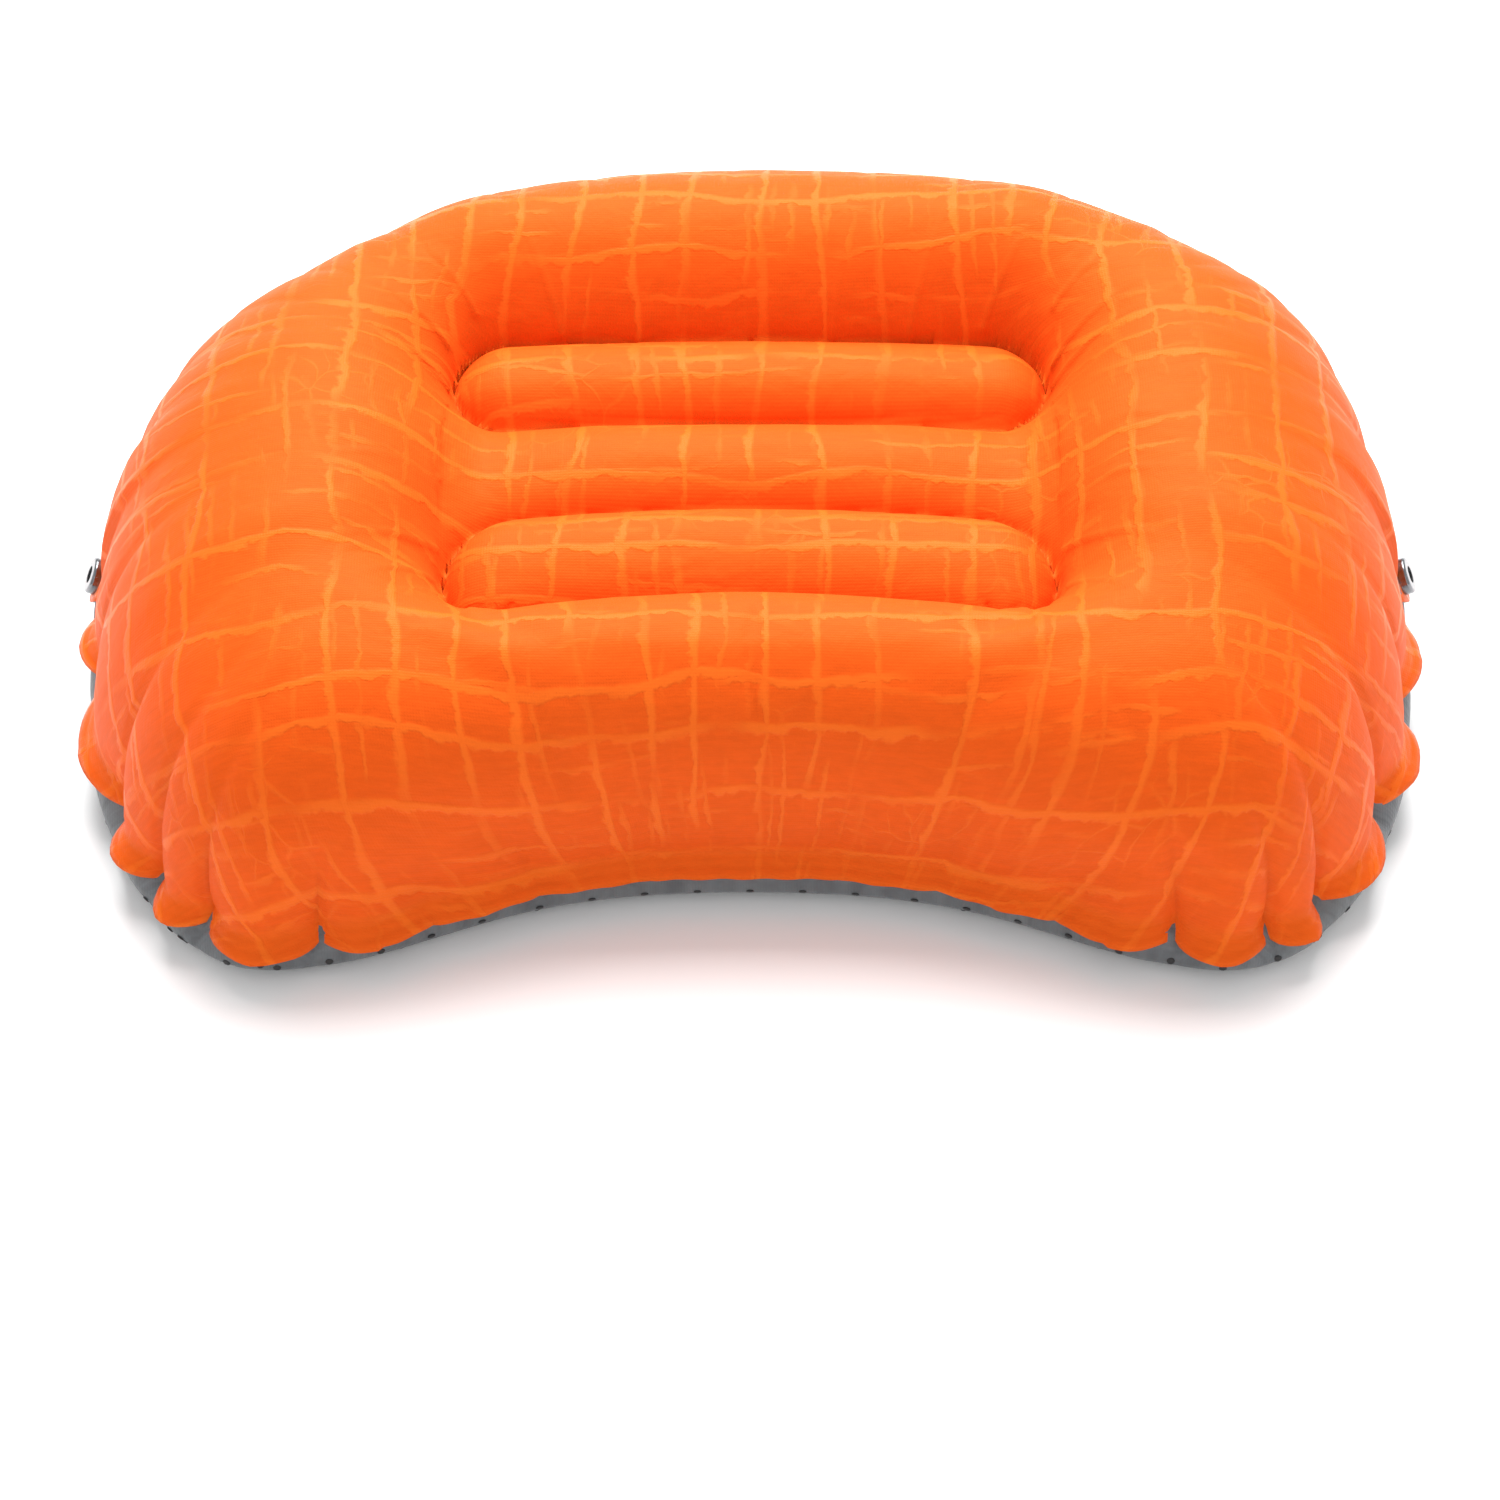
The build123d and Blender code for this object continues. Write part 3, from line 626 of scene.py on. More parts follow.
def crackle_group():
    """Embossed lines: broad and narrow ones in a wandering, broken grid, and fine cracks."""
    nodes, start, end = new_group(
        "embossed_crackle",
        [("Vector", "Vector", None), ("Spacing", "Float", 0.021), ("Width", "Float", 0.0021),
         ("Wander", "Float", 0.006)],
        [("Mask", "Float")])
    place = start.outputs["Vector"]
    lines = []
    # Each family of lines: axis, seed, spacing and width as shares of the inputs, how much is missing and
    # how often the lines break off.
    families = (("X", 3.1, 1.0, 1.0, 0.38, 40.0), ("Y", 8.7, 1.0, 1.0, 0.38, 40.0),
                ("X", 5.3, 0.42, 0.7, 0.5, 60.0), ("Y", 1.9, 0.46, 0.7, 0.5, 60.0))
    for axis, seed, spacing_share, width_share, missing, break_scale in families:
        shifted = nodes.add("VectorMath", operation="ADD")
        nodes.put(shifted, Vector=place)
        shifted.inputs[1].default_value = (seed, seed * 2, 0)
        wide = nodes.noise(shifted.outputs[0], 16.0, 1.0)
        fine = nodes.noise(shifted.outputs[0], 110.0, 3.0, 0.6)
        drift = nodes.math("MULTIPLY", nodes.math("SUBTRACT", wide.outputs["Fac"], 0.5), 3.0)
        shake = nodes.math("MULTIPLY", nodes.math("SUBTRACT", fine.outputs["Fac"], 0.5), 0.9)
        split = nodes.add("SeparateXYZ")
        nodes.put(split, Vector=place)
        moved = nodes.math("MULTIPLY", nodes.math("ADD", drift, shake), start.outputs["Wander"])
        spacing = nodes.math("MULTIPLY", start.outputs["Spacing"], spacing_share)
        lane = nodes.math("ADD", split.outputs[axis], moved)
        lane = nodes.math("ADD", nodes.math("DIVIDE", lane, spacing), seed * 7)
        cells = nodes.add("TexVoronoi", voronoi_dimensions="1D", feature="DISTANCE_TO_EDGE")
        nodes.put(cells, W=lane, Scale=1.0)
        uneven = nodes.remap(fine.outputs["Fac"], 0.3, 0.7, 0.6 * width_share, 1.3 * width_share)
        width = nodes.math("DIVIDE", nodes.math("MULTIPLY", start.outputs["Width"], uneven), spacing)
        off_line = nodes.math("DIVIDE", cells.outputs["Distance"], width)
        edge = nodes.remap(nodes.math("SUBTRACT", 1.0, off_line, clamp=True), 0.0, 0.7)
        lengthwise = (1, 0.35, 1) if axis == "X" else (0.35, 1, 1)
        breaks = nodes.noise(nodes.stretched(shifted.outputs[0], lengthwise), break_scale, 2.0, 0.6)
        shown = nodes.remap(breaks.outputs["Fac"], missing, missing + 0.16)
        strength = 0.55 + 0.45 * spacing_share
        lines.append(nodes.math("MULTIPLY", edge, nodes.math("MULTIPLY", shown, strength)))
    warp = nodes.noise(place, 45.0, 2.0)
    moved = nodes.add("VectorMath", operation="MULTIPLY_ADD")
    nodes.put(moved, Vector=warp.outputs["Color"])
    moved.inputs[1].default_value = (0.02, 0.02, 0.0)
    nodes.link(place, moved.inputs[2])
    cracks = nodes.add("TexVoronoi", voronoi_dimensions="2D", feature="DISTANCE_TO_EDGE")
    nodes.put(cracks, Vector=moved.outputs[0], Scale=75.0)
    crack = nodes.math("SUBTRACT", 1.0, nodes.math("DIVIDE", cracks.outputs["Distance"], 0.06), clamp=True)
    patches = nodes.noise(place, 17.0, 2.0)
    crack = nodes.math("MULTIPLY", crack, nodes.remap(patches.outputs["Fac"], 0.56, 0.68, 0.0, 0.6))
    every = crack
    for line in lines:
        every = nodes.math("MAXIMUM", every, line)
    nodes.link(every, end.inputs["Mask"])
    return nodes.tree


def grain_group():
    """Fine moulded or brushed grain, and the wear that comes with handling."""
    nodes, start, end = new_group(
        "handled_surface", [("Vector", "Vector", None), ("Grain", "Float", 1500.0), ("Wear", "Float", 0.3)],
        [("Height", "Float"), ("Wear", "Float")])
    grain = nodes.noise(start.outputs["Vector"], start.outputs["Grain"], 3.0, 0.6)
    nodes.link(grain.outputs["Fac"], end.inputs["Height"])
    scuffs = nodes.noise(start.outputs["Vector"], 240.0, 5.0, 0.7, 0.8)
    worn = nodes.remap(scuffs.outputs["Fac"], 0.45, 0.8)
    nodes.link(nodes.math("MULTIPLY", worn, start.outputs["Wear"]), end.inputs["Wear"])
    return nodes.tree


def use_group(nodes, name, **values):
    """Places a shader group and sets its inputs."""
    node = nodes.tree.nodes.new("ShaderNodeGroup")
    node.node_tree = bpy.data.node_groups[name]
    return nodes.put(node, **values)


def new_material(name):
    """A material with a Principled shader. Returns its Nodes and the shader."""
    material = bpy.data.materials.new(name)
    material.use_nodes = True
    return Nodes(material.node_tree), material.node_tree.nodes["Principled BSDF"]


def shell_material(cloth):
    """Orange laminated cloth: lighter embossed lines, fine weave, soft creases and a welded edge."""
    nodes, shader = new_material("orange_shell_cloth")
    flat = nodes.add("UVMap", uv_map="cloth_flat").outputs["UV"]
    weave = use_group(nodes, "woven_threads", Vector=flat, Pitch=0.0009)
    crackle = use_group(nodes, "embossed_crackle", Vector=flat)
    dull = tuple(c * 0.9 for c in cloth.shell_color)
    shade = nodes.mix(nodes.remap(weave.outputs["Tone"], 0.3, 0.7), dull, tuple(cloth.shell_color))
    line = nodes.math("MULTIPLY", crackle.outputs["Mask"], 0.5)
    color = nodes.mix(line, shade, tuple(cloth.line_color))
    weld = nodes.add("Attribute", attribute_name="weld_band")
    color = nodes.mix(nodes.math("MULTIPLY", weld.outputs["Fac"], 0.2), color, tuple(cloth.line_color))
    rough = nodes.math("SUBTRACT", 0.6, nodes.math("MULTIPLY", crackle.outputs["Mask"], 0.16))
    rough = nodes.math("SUBTRACT", rough, nodes.math("MULTIPLY", weld.outputs["Fac"], 0.15))
    puckers = nodes.noise(flat, 85.0, 5.0, 0.62, 0.6)
    puckered = nodes.bump(puckers.outputs["Fac"], 1.2 * MM, 0.35)
    embossed = nodes.bump(crackle.outputs["Mask"], 0.3 * MM, 0.6, puckered)
    woven = nodes.bump(weave.outputs["Height"], 0.08 * MM, 0.5, embossed)
    nodes.put(shader, Base_Color=color, Roughness=rough, Normal=woven)
    nodes.put(shader, Sheen_Weight=0.05, Sheen_Roughness=0.4, Sheen_Tint=(1.0, 0.35, 0.08, 1.0))
    nodes.put(shader, Specular_IOR_Level=0.18, Specular_Tint=(1.0, 0.4, 0.12, 1.0))


def base_material(cloth):
    """Grey laminated cloth of the underside."""
    nodes, shader = new_material("grey_base_cloth")
    flat = nodes.add("UVMap", uv_map="cloth_flat").outputs["UV"]
    weave = use_group(nodes, "woven_threads", Vector=flat, Pitch=0.0009)
    dust = nodes.noise(flat, 30.0, 4.0, 0.6)
    dark = tuple(c * 0.8 for c in cloth.base_color)
    pale = tuple(c * 1.35 for c in cloth.base_color)
    color = nodes.mix(nodes.remap(weave.outputs["Tone"], 0.3, 0.7), dark, pale)
    color = nodes.mix(nodes.remap(dust.outputs["Fac"], 0.45, 0.75, 0.0, 0.25), color, (0.2, 0.2, 0.19))
    rough = nodes.remap(dust.outputs["Fac"], 0.3, 0.7, 0.55, 0.75)
    woven = nodes.bump(weave.outputs["Height"], 0.1 * MM, 0.6)
    nodes.put(shader, Base_Color=color, Roughness=rough, Normal=woven)
    nodes.put(shader, Sheen_Weight=0.2, Sheen_Roughness=0.45)


def moulded_material(name, color, rough, grain, wear, metal=0.0, coat=0.0):
    """A moulded, printed or plated finish with grain and wear."""
    nodes, shader = new_material(name)
    place = nodes.add("TexCoord").outputs["Object"]
    surface = use_group(nodes, "handled_surface", Vector=place, Grain=grain, Wear=wear)
    worn = tuple(min(1.0, c * 2.2 + 0.02) for c in color)
    nodes.put(shader, Base_Color=nodes.mix(surface.outputs["Wear"], tuple(color), worn))
    nodes.put(shader, Roughness=nodes.remap(surface.outputs["Wear"], 0.0, 0.5, rough, rough + 0.2))
    nodes.put(shader, Normal=nodes.bump(surface.outputs["Height"], 0.04 * MM, 0.5))
    nodes.put(shader, Metallic=metal, Coat_Weight=coat, Coat_Roughness=0.15)


def film_material():
    """Translucent film of the inner baffles."""
    nodes, shader = new_material("milky_film")
    place = nodes.add("TexCoord").outputs["Object"]
    surface = use_group(nodes, "handled_surface", Vector=place, Grain=700.0, Wear=0.4)
    nodes.put(shader, Base_Color=nodes.mix(surface.outputs["Wear"], (0.6, 0.58, 0.54), (0.8, 0.79, 0.76)))
    nodes.put(shader, Roughness=nodes.remap(surface.outputs["Wear"], 0.0, 0.5, 0.28, 0.5))
    nodes.put(shader, Normal=nodes.bump(surface.outputs["Height"], 0.1 * MM, 0.4))
    nodes.put(shader, Transmission_Weight=0.25)


# ---- operators ------------------------------------------------------------------------------------
class PILLOW_OT_finishes(bpy.types.Operator):
    """Makes the shader groups and every material"""

    bl_idname = "pillow.finishes"
    bl_label = "Finishes"

    def execute(self, context):
        scene = context.scene
        weave_group()
        crackle_group()
        grain_group()
        shell_material(scene.pillow_cloth)
        base_material(scene.pillow_cloth)
        hardware = scene.pillow_hardware
        moulded_material("dark_nickel", hardware.metal_color, 0.22, 900.0, 0.3, metal=1.0)
        moulded_material("bright_wire", (0.55, 0.55, 0.55), 0.2, 900.0, 0.2, metal=1.0)
        moulded_material("black_valve_plastic", hardware.valve_color, 0.38, 1600.0, 0.25, coat=0.1)
        moulded_material("printed_silicone", scene.pillow_dots.color, 0.5, 1200.0, 0.3)
        moulded_material("clear_silicone", (0.55, 0.55, 0.52), 0.35, 1200.0, 0.2)
        film_material()
        return {"FINISHED"}


class PILLOW_OT_top_cloth(bpy.types.Operator):
    """Makes the inflated upper cloth with its ridges, tubes and gathered, welded edge"""

    bl_idname = "pillow.top_cloth"
    bl_label = "Top cloth"

    flange_shares = (1.0, 0.8, 0.62, 0.52, 0.42, 0.2, 0.0)
    groove_share = 0.52
    groove_depth = 0.3
    wall_rings = 22
    slope_rings = 20
    valley_width = 1.6
    # A plain pillow, which the cloth's flat layout is measured on: the flange's run and drop for its width,
    # the wall's height and the drop from the crest to the sunken middle.
    plain_flange = 0.7
    plain_wall = 70.0
    plain_dip = 22.0

    def execute(self, context):
        cloth = context.scene.pillow_cloth
        plan = cloth_rings()
        count = len(plan["edge"])
        rings, flat_rings, held = self.rings(plan)
        points = np.concatenate(rings)
        faces = stitch(count, len(rings))
        inner, grid_faces = well_grid(len(points), count)
        height = well_shape(inner[:, 0], inner[:, 1])[0]
        points = np.concatenate([points, np.column_stack([inner, height])])
        uv = np.concatenate([*flat_rings, inner]) * MM
        weld = np.zeros(len(points))
        weld[: count * len(self.flange_shares)] = 1.0
        points = flatten_patch(points * MM)
        thing = new_mesh("top_cloth", points, faces + grid_faces, uv)
        attribute = thing.data.attributes.new("weld_band", "FLOAT", "POINT")
        attribute.data.foreach_set("value", weld.astype(np.float32))
        from_tube = well_shape(points[:, 0] / MM, points[:, 1] / MM)[2]
        inside_ridges = np.arange(len(points)) >= count * (len(self.flange_shares) + self.wall_rings)
        held = np.concatenate([held, np.zeros(len(inner))])
        held[inside_ridges & (np.abs(from_tube) < self.valley_width)] = 1.0
        local, far = in_valve_frame(points)
        held[(far < VALVE_PATCH + 1) & (np.abs(local[:, 2]) < 6 * MM)] = 1.0
        inflate(thing, held, cloth)
        set_points(thing, points_of(thing) + self.creases(thing))
        open_neck(thing)
        thicken(thing, cloth)
        give_material(thing, "orange_shell_cloth")
        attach(thing, "root")
        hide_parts("top_panel")
        return {"FINISHED"}

    def rings(self, plan):
        """The rings from the free edge to the rim of the sunken middle, their flat layout and how firmly
        they are held."""
        rings = []
        profile = []  # each ring's (inset, height) on the plain pillow
        for share in self.flange_shares:
            ring = flange_ring(plan, share)
            if share == self.groove_share:
                ring[:, 2] -= self.groove_depth
            rings.append(ring)
            down = self.plain_flange * (plan["width"] * share)
            profile.append(np.stack([plan["root_in"] - down, -down]))
        held = [np.ones(len(plan["edge"]))] * len(rings)
        rim, inward, reach = plan["rim"], plan["inward"], plan["reach"]
        ridge_width = well_shape(rim[:, 0] - 6 * inward[:, 0], rim[:, 1] - 6 * inward[:, 1])[1]
        side = smooth(100, 150, np.abs(plan["edge"][:, 0] - 0.5 * inward[:, 0] * reach))
        ridge_width = blend(ridge_width, SIDE_RIDGE, side * 0.6)
        from_end = np.minimum(rim[:, 1] - WELL_FRONT, WELL_BACK - rim[:, 1])
        from_corner = np.hypot(np.abs(rim[:, 0]) - WELL_X, from_end)
        crest = blend(reach - ridge_width, 0.6 * reach, np.exp(-(from_corner / CORNER_REACH) ** 2))
        wall_angles = np.linspace(0, pi / 2, self.wall_rings + 1)[1:]
        spread = [(plan["root_in"] + (crest - plan["root_in"]) * (1 - cos(a)), sin(a)) for a in wall_angles]
        shares = np.linspace(0, 1, self.slope_rings + 1)[1:]
        spread += [(crest + (reach - crest) * sin(s * pi / 2), 1.0) for s in shares]
        for inset, rise in spread:
            flat = plan["edge"] + inward * np.minimum(inset, reach)[:, None]
            height = well_shape(flat[:, 0], flat[:, 1])[0]
            z = plan["root_z"] + (height - plan["root_z"]) * rise
            past_crest = np.clip((inset - crest) / (reach - crest), 0, 1) if rise == 1.0 else 0.0
            plain_height = self.plain_wall * rise - self.plain_dip * past_crest ** 2
            profile.append(np.stack([inset + 0 * reach, plain_height + 0 * reach]))
            drawn = drawn_in(plan, z - plan["root_z"])
            flat = flat - plan["outward"] * drawn[:, None]
            rings.append(np.column_stack([flat, z]))
            held.append(np.zeros(len(z)))
        length = np.zeros(len(rim))
        flat_rings = [rim]
        for outer, inner in zip(profile[-2::-1], profile[:0:-1]):
            length = length + np.linalg.norm(outer - inner, axis=0)
            flat_rings.append(rim - inward * length[:, None])
        return rings, flat_rings[::-1], np.concatenate(held)

    def creases(self, thing):
        """Fine puckers: short and broken along the crests, running up the wall beside the seam."""
        normals = np.zeros(len(thing.data.vertices) * 3, dtype=np.float32)
        thing.data.vertices.foreach_get("normal", normals)
        normals = normals.reshape(-1, 3)
        shift = np.zeros(len(normals))
        for i, vertex in enumerate(thing.data.vertices):
            x, y, z = (c / MM for c in vertex.co)
            ripple = noise.noise(Vector((x / 17, y / 6, z / 14)))
            fold = noise.noise(Vector((x / 7 + 9, y / 3.5, z / 6)))
            patch = noise.noise(Vector((x / 40, y / 40 + 5, z / 40)))
            pucker = 0.3 * (abs(fold) - 0.3) if patch > 0.05 else 0.0
            shift[i] = 0.22 * ripple + pucker * min(1, patch * 4)
        return normals * (shift * MM)[:, None]


def inflate(thing, held, cloth):
    """Blows the cloth up a little from its shape, held where held is 1, and keeps the result."""
    start = points_of(thing)
    group = thing.vertex_groups.new(name="held")
    for i in np.nonzero(held > 0.5)[0]:
        group.add([int(i)], 1.0, "REPLACE")
    scene = bpy.context.scene
    physics = thing.modifiers.new("air", "CLOTH")
    settings = physics.settings
    settings.quality = 5
    settings.mass = 0.15
    settings.tension_stiffness = 25
    settings.compression_stiffness = 6
    settings.shear_stiffness = 5
    settings.bending_stiffness = 0.05
    settings.use_pressure = True
    settings.uniform_pressure_force = cloth.pressure
    settings.vertex_group_mass = "held"
    settings.effector_weights.gravity = 0
    physics.collision_settings.use_self_collision = False
    physics.point_cache.frame_start = 1
    physics.point_cache.frame_end = INFLATE_FRAMES
    for step in range(1, INFLATE_FRAMES + 1):
        scene.frame_set(step)
    graph = bpy.context.evaluated_depsgraph_get()
    swollen = points_of(thing.evaluated_get(graph))
    thing.modifiers.remove(physics)
    scene.frame_set(1)
    move = swollen - start
    far = np.linalg.norm(move, axis=1)
    limit = cloth.swell_limit
    held_back = np.where(far > 0, limit * np.tanh(far / limit) / np.maximum(far, 1e-9), 0)
    set_points(thing, start + move * held_back[:, None])


class PILLOW_OT_base_cloth(bpy.types.Operator):
    """Makes the grey lower cloth with its layer of the welded edge"""

    bl_idname = "pillow.base_cloth"
    bl_label = "Base cloth"

    # The bulge under the seam, as (inset from the flange's root in millimetres, share of the way down).
    dish = ((-1.2, 0.08), (-2.6, 0.2), (-3.8, 0.36), (-4.5, 0.52), (-4.4, 0.66), (-3.2, 0.78), (-0.8, 0.88),
            (3.0, 0.945), (8.5, 0.98), (16.0, 1.0))
    flange_shares = (0.98, 0.75, 0.5, 0.25, 0.0)
    tuck = 0.2  # its notches are this much deeper than the upper cloth's
    flat_rings = 4
    sole_z = 0.3

    def execute(self, context):
        cloth = context.scene.pillow_cloth
        plan = cloth_rings()
        count = len(plan["edge"])
        layer = cloth.thickness / MM
        tucked = {**plan, "drawn": plan["drawn"] + self.tuck * np.maximum(plan["drawn"], 0)}
        rings = [flange_ring(tucked, share, 2.5 * layer) for share in self.flange_shares]
        for inset, share in self.dish:
            flat = plan["root"] + plan["inward"] * inset
            z = plan["root_z"] * (1 - share) + self.sole_z * share
            below = plan["root_z"] - z
            drawn = tucked["drawn"] * np.exp(-(below / 9.0) ** 2)
            flat = flat - plan["outward"] * drawn[:, None]
            rings.append(np.column_stack([flat, z]))
        start = plan["root_in"] + self.dish[-1][0]
        for share in np.linspace(0, 1, self.flat_rings + 1)[1:]:
            flat = plan["edge"] + plan["inward"] * (start + (plan["reach"] - start) * share)[:, None]
            rings.append(np.column_stack([flat, np.full(count, self.sole_z)]))
        points = np.concatenate(rings)
        faces = stitch(count, len(rings))
        inner, grid_faces = well_grid(len(points), count)
        points = np.concatenate([points, np.column_stack([inner, np.full(len(inner), self.sole_z)])])
        faces = [face[::-1] for face in faces + grid_faces]
        thing = new_mesh("base_cloth", points * MM, faces, points[:, :2] * MM)
        thicken(thing, cloth)
        give_material(thing, "grey_base_cloth")
        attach(thing, "root")
        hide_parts("bottom_panel")
        return {"FINISHED"}


class PILLOW_OT_grip_dots(bpy.types.Operator):
    """Prints low anti-slip dots over the base cloth in staggered rows"""

    bl_idname = "pillow.grip_dots"
    bl_label = "Grip dots"

    half_depth = 0.16  # of the area that is printed, past the cloth's edge
    half_width = 0.24
    bulge_row = 7 * MM  # height of the row round the bulge
    # Each ring of a dot as shares of its radius and its height; the first lies under the cloth.
    dome = ((1.0, -0.3), (0.96, 0.55), (0.7, 0.95))
    sides = 12

    def execute(self, context):
        dots = context.scene.pillow_dots
        base = bpy.data.objects.get("base_cloth")
        if base is None:
            raise RuntimeError("the base cloth comes first")
        tree = BVHTree.FromObject(base, context.evaluated_depsgraph_get())
        vertices, faces = [], []
        row_pitch = dots.pitch * sqrt(3) / 2
        rows = int(self.half_depth / row_pitch)
        columns = int(self.half_width / dots.pitch)
        for row in range(-rows, rows + 1):
            for column in range(-columns, columns + 1):
                below = Vector(((column + (row % 2) / 2) * dots.pitch, row * row_pitch, -0.05))
                spot, normal = tree.ray_cast(below, Vector((0, 0, 1)))[:2]
                if spot is not None and normal.z <= -0.4 and spot.z <= 0.03:
                    self.add_dot(vertices, faces, spot, normal, dots)
        edge, _, outward = seam_plan()
        steps = np.concatenate([[0], np.cumsum(np.linalg.norm(np.roll(edge, -1, 0) - edge, axis=1))])
        for place in np.arange(0.0, steps[-1], dots.pitch / MM):
            k = int(np.searchsorted(steps, place)) % len(edge)
            out = Vector((*outward[k], 0))
            beside = Vector((*(edge[k] * MM), self.bulge_row)) + out * 0.03
            spot, normal = tree.ray_cast(beside, -out)[:2]
            if spot is not None and normal.dot(out) > 0.1:
                self.add_dot(vertices, faces, spot, normal, dots)
        thing = new_mesh("grip_dot_print", vertices, faces)
        shade_smooth(thing)
        give_material(thing, "printed_silicone")
        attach(thing, "root")
        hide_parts("grip_dots")
        return {"FINISHED"}

    def add_dot(self, vertices, faces, spot, normal, dots):
        """A low dome standing on the cloth, with its foot just under it."""
        side = normal.orthogonal().normalized()
        other = normal.cross(side)
        first = len(vertices)
        sides = self.sides
        for radius, lift in self.dome:
            for k in range(sides):
                turn = 2 * pi * k / sides
                out = side * cos(turn) + other * sin(turn)
                vertices.append(spot + out * dots.radius * radius + normal * dots.height * lift)
        vertices.append(spot + normal * dots.height)
        top = len(vertices) - 1
        for ring in range(len(self.dome)):
            for k in range(sides):
                a = first + ring * sides + k
                b = first + ring * sides + (k + 1) % sides
                if ring < len(self.dome) - 1:
                    faces.append((a, b, b + sides, a + sides))
                else:
                    faces.append((a, b, top))
        faces.append(tuple(first + k for k in reversed(range(sides))))


class PILLOW_OT_hardware(bpy.types.Operator):
    """Gives the snaps, the valve and the inner baffles their finishes"""

    bl_idname = "pillow.hardware"
    bl_label = "Snaps, valve and baffles"

    # Each material slot's finish, and whether its edges are rounded.
    finish = {
        "snap_metal": ("dark_nickel", True),
        "spring_wire": ("bright_wire", False),
        "valve_black": ("black_valve_plastic", True),
        "flap_silicone": ("clear_silicone", False),
        "baffle_film": ("milky_film", False),
    }

    def execute(self, context):
        for part in frame["record"]["subparts"]:
            if part["material_slot"] not in self.finish:
                continue
            material, is_rounded = self.finish[part["material_slot"]]
            node = frame["nodes"][part["node"]]
            for slot in node.material_slots:
                slot.material = bpy.data.materials[material]
            if is_rounded:
                round_edges(node, context.scene.pillow_hardware.edge_round, 40)
        return {"FINISHED"}


def round_edges(thing, width, sharp_angle):
    """Adds a bevel to the edges that are sharper than an angle in degrees."""
    rounding = thing.modifiers.new("rounding", "BEVEL")
    rounding.width = width
    rounding.segments = 2
    rounding.limit_method = "ANGLE"
    rounding.angle_limit = radians(sharp_angle)


def fold_strap(name, strap, hardware):
    """A flat strap that doubles back round its hinge line, drawn out of its end edge step by step.
    Returns it with the places where its bend starts and ends."""
    radius = (strap["high"] - strap["low"]) / 2
    middle = (strap["high"] + strap["low"]) / 2
    path = [(strap["start"], strap["low"]), (strap["hinge"] - 1.2, strap["low"])]
    bend_steps = 8
    for step in range(bend_steps + 1):
        turn = pi * step / bend_steps - pi / 2
        path.append((strap["hinge"] + radius * cos(turn), middle + radius * sin(turn)))
    path.append((strap["hinge"] - 1.5, strap["high"]))
    to_row = valve_frame()
    spots = [to_row @ Vector((0, y * MM, z * MM)) for y, z in path]
    bpy.ops.object.select_all(action="DESELECT")
    bpy.ops.mesh.primitive_plane_add(size=1.0)
    thing = bpy.context.object
    thing.name = name
    half = strap["width"] * MM / 2
    for vertex in thing.data.vertices:
        spot = spots[0] if vertex.co.y < 0 else spots[1]
        vertex.select = vertex.co.y > 0
        vertex.co = spot + Vector((half if vertex.co.x > 0 else -half, 0, 0))
    for edge in thing.data.edges:
        edge.select = all(thing.data.vertices[i].select for i in edge.vertices)
    for face in thing.data.polygons:
        face.select = False
    bpy.context.tool_settings.mesh_select_mode = (False, True, False)
    bpy.ops.object.mode_set(mode="EDIT")
    for before, after in zip(spots[1:], spots[2:]):
        bpy.ops.mesh.extrude_region_move(TRANSFORM_OT_translate={"value": after - before})
    bpy.ops.mesh.select_all(action="SELECT")
    bpy.ops.mesh.normals_make_consistent(inside=False)
    bpy.ops.object.mode_set(mode="OBJECT")
    shell = thing.modifiers.new("thickness", "SOLIDIFY")
    shell.thickness = hardware.strap_thickness
    shell.offset = 0.0
    round_edges(thing, 0.5 * hardware.edge_round, 30)
    apply_all(thing)
    bpy.ops.object.shade_smooth_by_angle(angle=radians(35))
    give_material(thing, "black_valve_plastic")
    low, high = (to_row @ Vector((0, strap["hinge"] * MM, strap[key] * MM)) for key in ("low", "high"))
    return thing, tuple(low), tuple(high)


class PILLOW_OT_lid_strap(bpy.types.Operator):
    """Makes the strap that holds the large lid to the valve's neck"""

    bl_idname = "pillow.lid_strap"
    bl_label = "Lid strap"

    def execute(self, context):
        strap, low, high = fold_strap("lid_strap", LID_STRAP, context.scene.pillow_hardware)
        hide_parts("deflate_lid_tether")
        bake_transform(strap)
        return {"FINISHED"}


class PILLOW_OT_cap_strap(bpy.types.Operator):
    """Makes the strap that holds the small cap to the large lid"""

    bl_idname = "pillow.cap_strap"
    bl_label = "Cap strap"

    def execute(self, context):
        strap, low, high = fold_strap("cap_strap", CAP_STRAP, context.scene.pillow_hardware)
        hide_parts("inflate_cap_tether")
        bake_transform(strap)
        return {"FINISHED"}


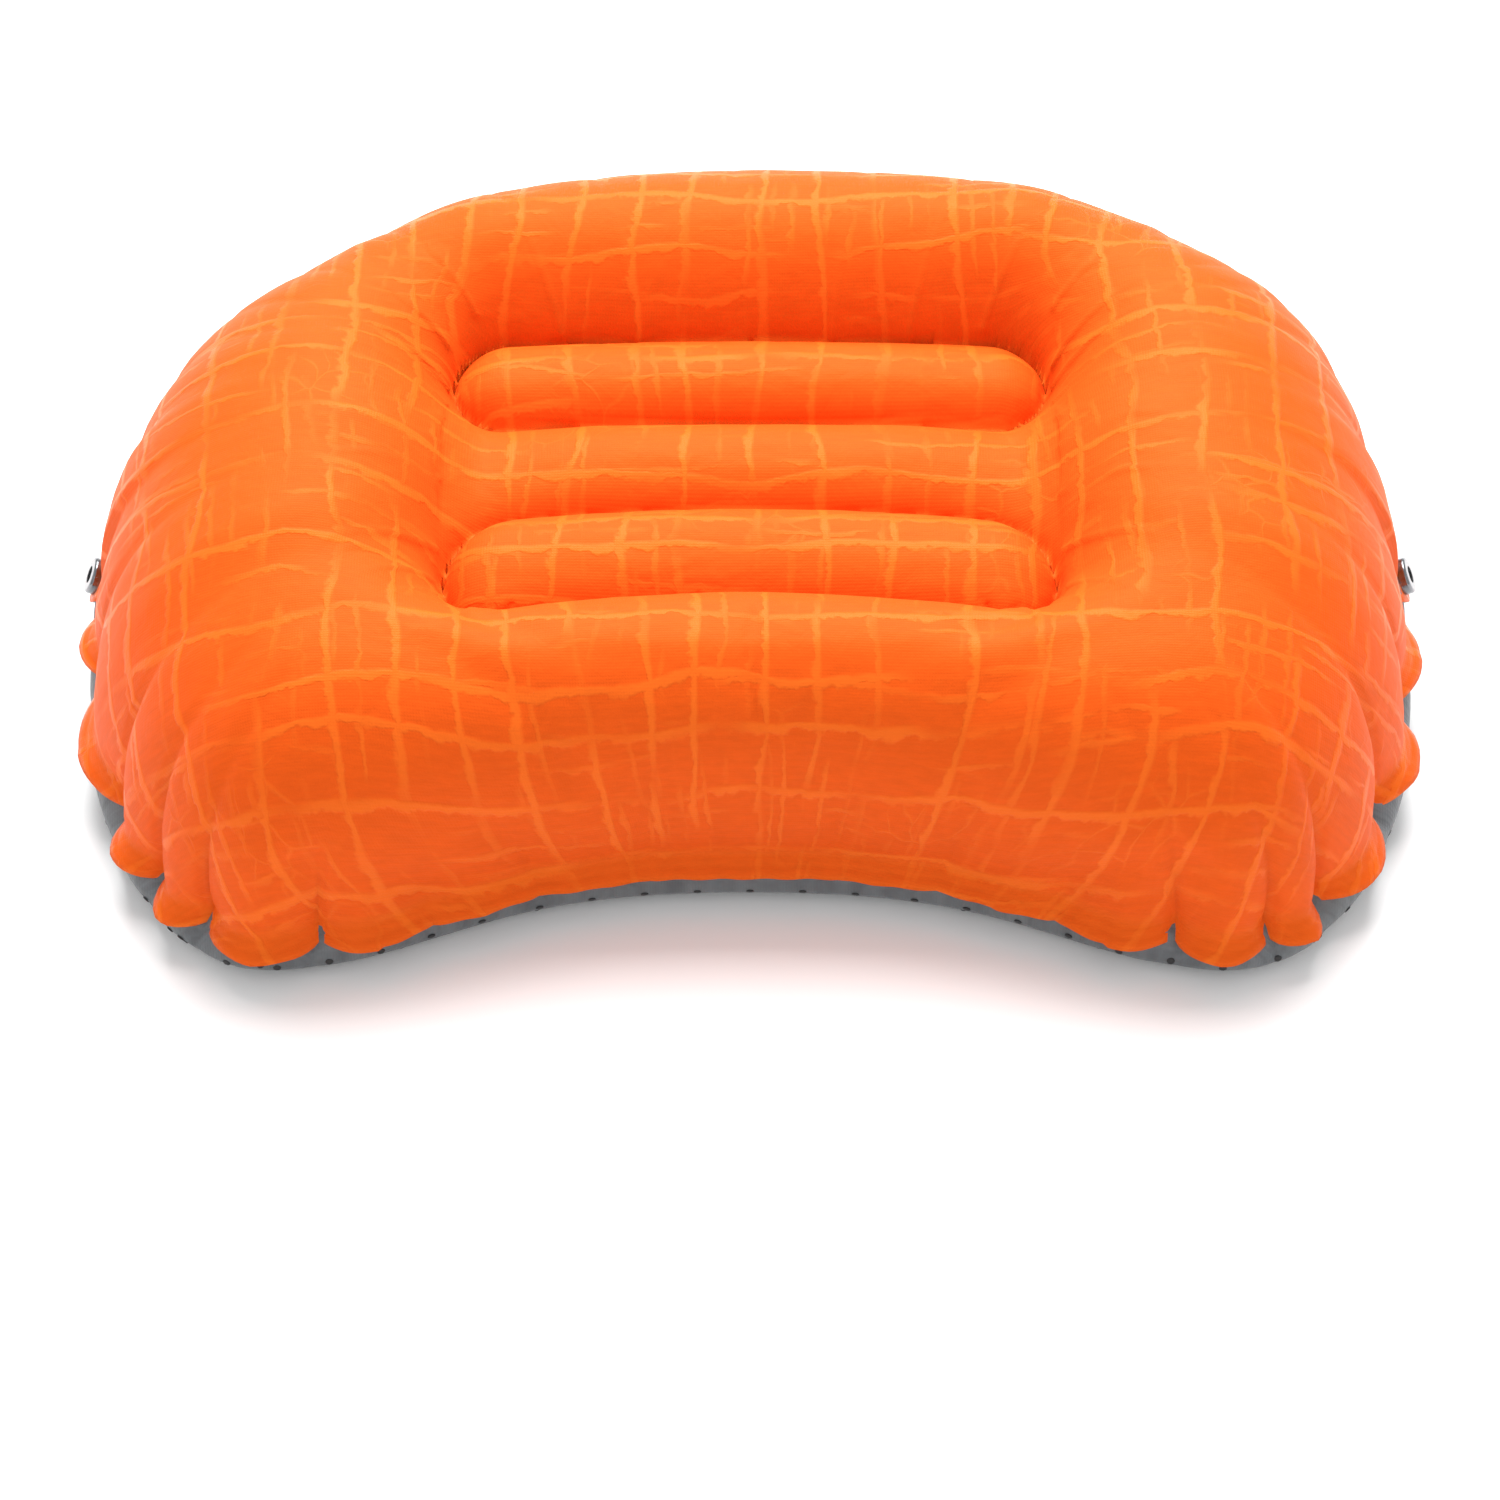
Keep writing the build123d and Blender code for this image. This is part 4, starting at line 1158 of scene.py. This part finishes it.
class PILLOW_OT_stage(bpy.types.Operator):
    """Lays the floor and sets the lights and the camera"""

    bl_idname = "pillow.stage"
    bl_label = "Stage"

    floor_radius = 6.0
    floor_z = -0.2 * MM
    lit_spot = (0, 0, 0.05)
    look_at = (0, 0, 0.045)
    view_shift = -0.137  # sets the pillow a little above the middle of the view

    def execute(self, context):
        stage = context.scene.pillow_stage
        bpy.ops.mesh.primitive_circle_add(
            vertices=96, radius=self.floor_radius, fill_type="NGON", location=(0, 0, self.floor_z))
        floor = context.object
        floor.name = "floor"
        bpy.ops.object.transform_apply(location=True, rotation=True, scale=True)
        nodes, shader = new_material("pale_floor")
        place = nodes.add("TexCoord").outputs["Object"]
        mottle = nodes.noise(place, 3.0, 3.0)
        color = tuple(stage.floor_color)
        dusty = tuple(c * 0.98 for c in color)
        nodes.put(shader, Base_Color=nodes.mix(mottle.outputs["Fac"], dusty, color), Roughness=0.8)
        give_material(floor, "pale_floor")
        self.light("key_light", (0.0, 0.9, 1.35), 1.3, stage.key_power)
        self.light("fill_light", (0.0, -1.6, 0.9), 1.6, stage.fill_power)
        for side in (-1, 1):
            self.light("side_light", (side * 1.5, -0.1, 0.7), 1.0, stage.side_share * stage.fill_power)
        world = bpy.data.worlds.new("studio")
        world.use_nodes = True
        background = world.node_tree.nodes["Background"]
        background.inputs["Color"].default_value = (1, 1, 1, 1)
        background.inputs["Strength"].default_value = stage.surround
        context.scene.world = world
        context.scene.view_settings.view_transform = "Standard"
        self.camera(context, stage)
        return {"FINISHED"}

    def light(self, name, place, size, power):
        """A square light that shines at the pillow."""
        data = bpy.data.lights.new(name, "AREA")
        data.size = size
        data.energy = power
        lamp = bpy.data.objects.new(name, data)
        lamp.location = place
        lamp.rotation_euler = (Vector(self.lit_spot) - Vector(place)).to_track_quat("-Z", "Y").to_euler()
        bpy.context.scene.collection.objects.link(lamp)

    def camera(self, context, stage):
        """Looks down at the pillow from its neck side."""
        data = bpy.data.cameras.new("camera")
        data.sensor_width = 36.0
        data.lens = stage.camera_lens
        data.shift_y = self.view_shift
        camera = bpy.data.objects.new("camera", data)
        tilt = stage.camera_tilt
        back_off = Vector((0, -cos(tilt), sin(tilt))) * stage.camera_distance
        camera.location = Vector(self.look_at) + back_off
        camera.rotation_euler = (pi / 2 - tilt, 0, 0)
        context.scene.collection.objects.link(camera)
        context.scene.camera = camera


OPERATORS = (
    PILLOW_OT_finishes,
    PILLOW_OT_top_cloth,
    PILLOW_OT_base_cloth,
    PILLOW_OT_grip_dots,
    PILLOW_OT_hardware,
    PILLOW_OT_lid_strap,
    PILLOW_OT_cap_strap,
    PILLOW_OT_stage,
)


class PILLOW_PT_sidebar(bpy.types.Panel):
    """Lists the pillow's pieces"""

    bl_idname = "PILLOW_PT_sidebar"
    bl_label = "Camp Pillow"
    bl_space_type = "VIEW_3D"
    bl_region_type = "UI"
    bl_category = "Camp Pillow"

    def draw(self, context):
        for operator in OPERATORS:
            self.layout.operator(operator.bl_idname)
        for group in SETTINGS:
            box = self.layout.box()
            settings = getattr(context.scene, group)
            for name in settings.__annotations__:
                box.prop(settings, name)


SETTINGS = {
    "pillow_cloth": PillowCloth,
    "pillow_dots": PillowDots,
    "pillow_hardware": PillowHardware,
    "pillow_stage": PillowStage,
}
CLASSES = (*SETTINGS.values(), *OPERATORS, PILLOW_PT_sidebar)


def register():
    for one in CLASSES:
        bpy.utils.register_class(one)
    for name, group in SETTINGS.items():
        setattr(bpy.types.Scene, name, PointerProperty(type=group))


def unregister():
    for name in SETTINGS:
        delattr(bpy.types.Scene, name)
    for one in reversed(CLASSES):
        bpy.utils.unregister_class(one)


def main():
    register()
    bpy.ops.pillow.finishes()
    bpy.ops.pillow.top_cloth()
    bpy.ops.pillow.base_cloth()
    bpy.ops.pillow.grip_dots()
    bpy.ops.pillow.hardware()
    bpy.ops.pillow.lid_strap()
    bpy.ops.pillow.cap_strap()
    bpy.ops.pillow.stage()


if __name__ == "__main__":
    main()
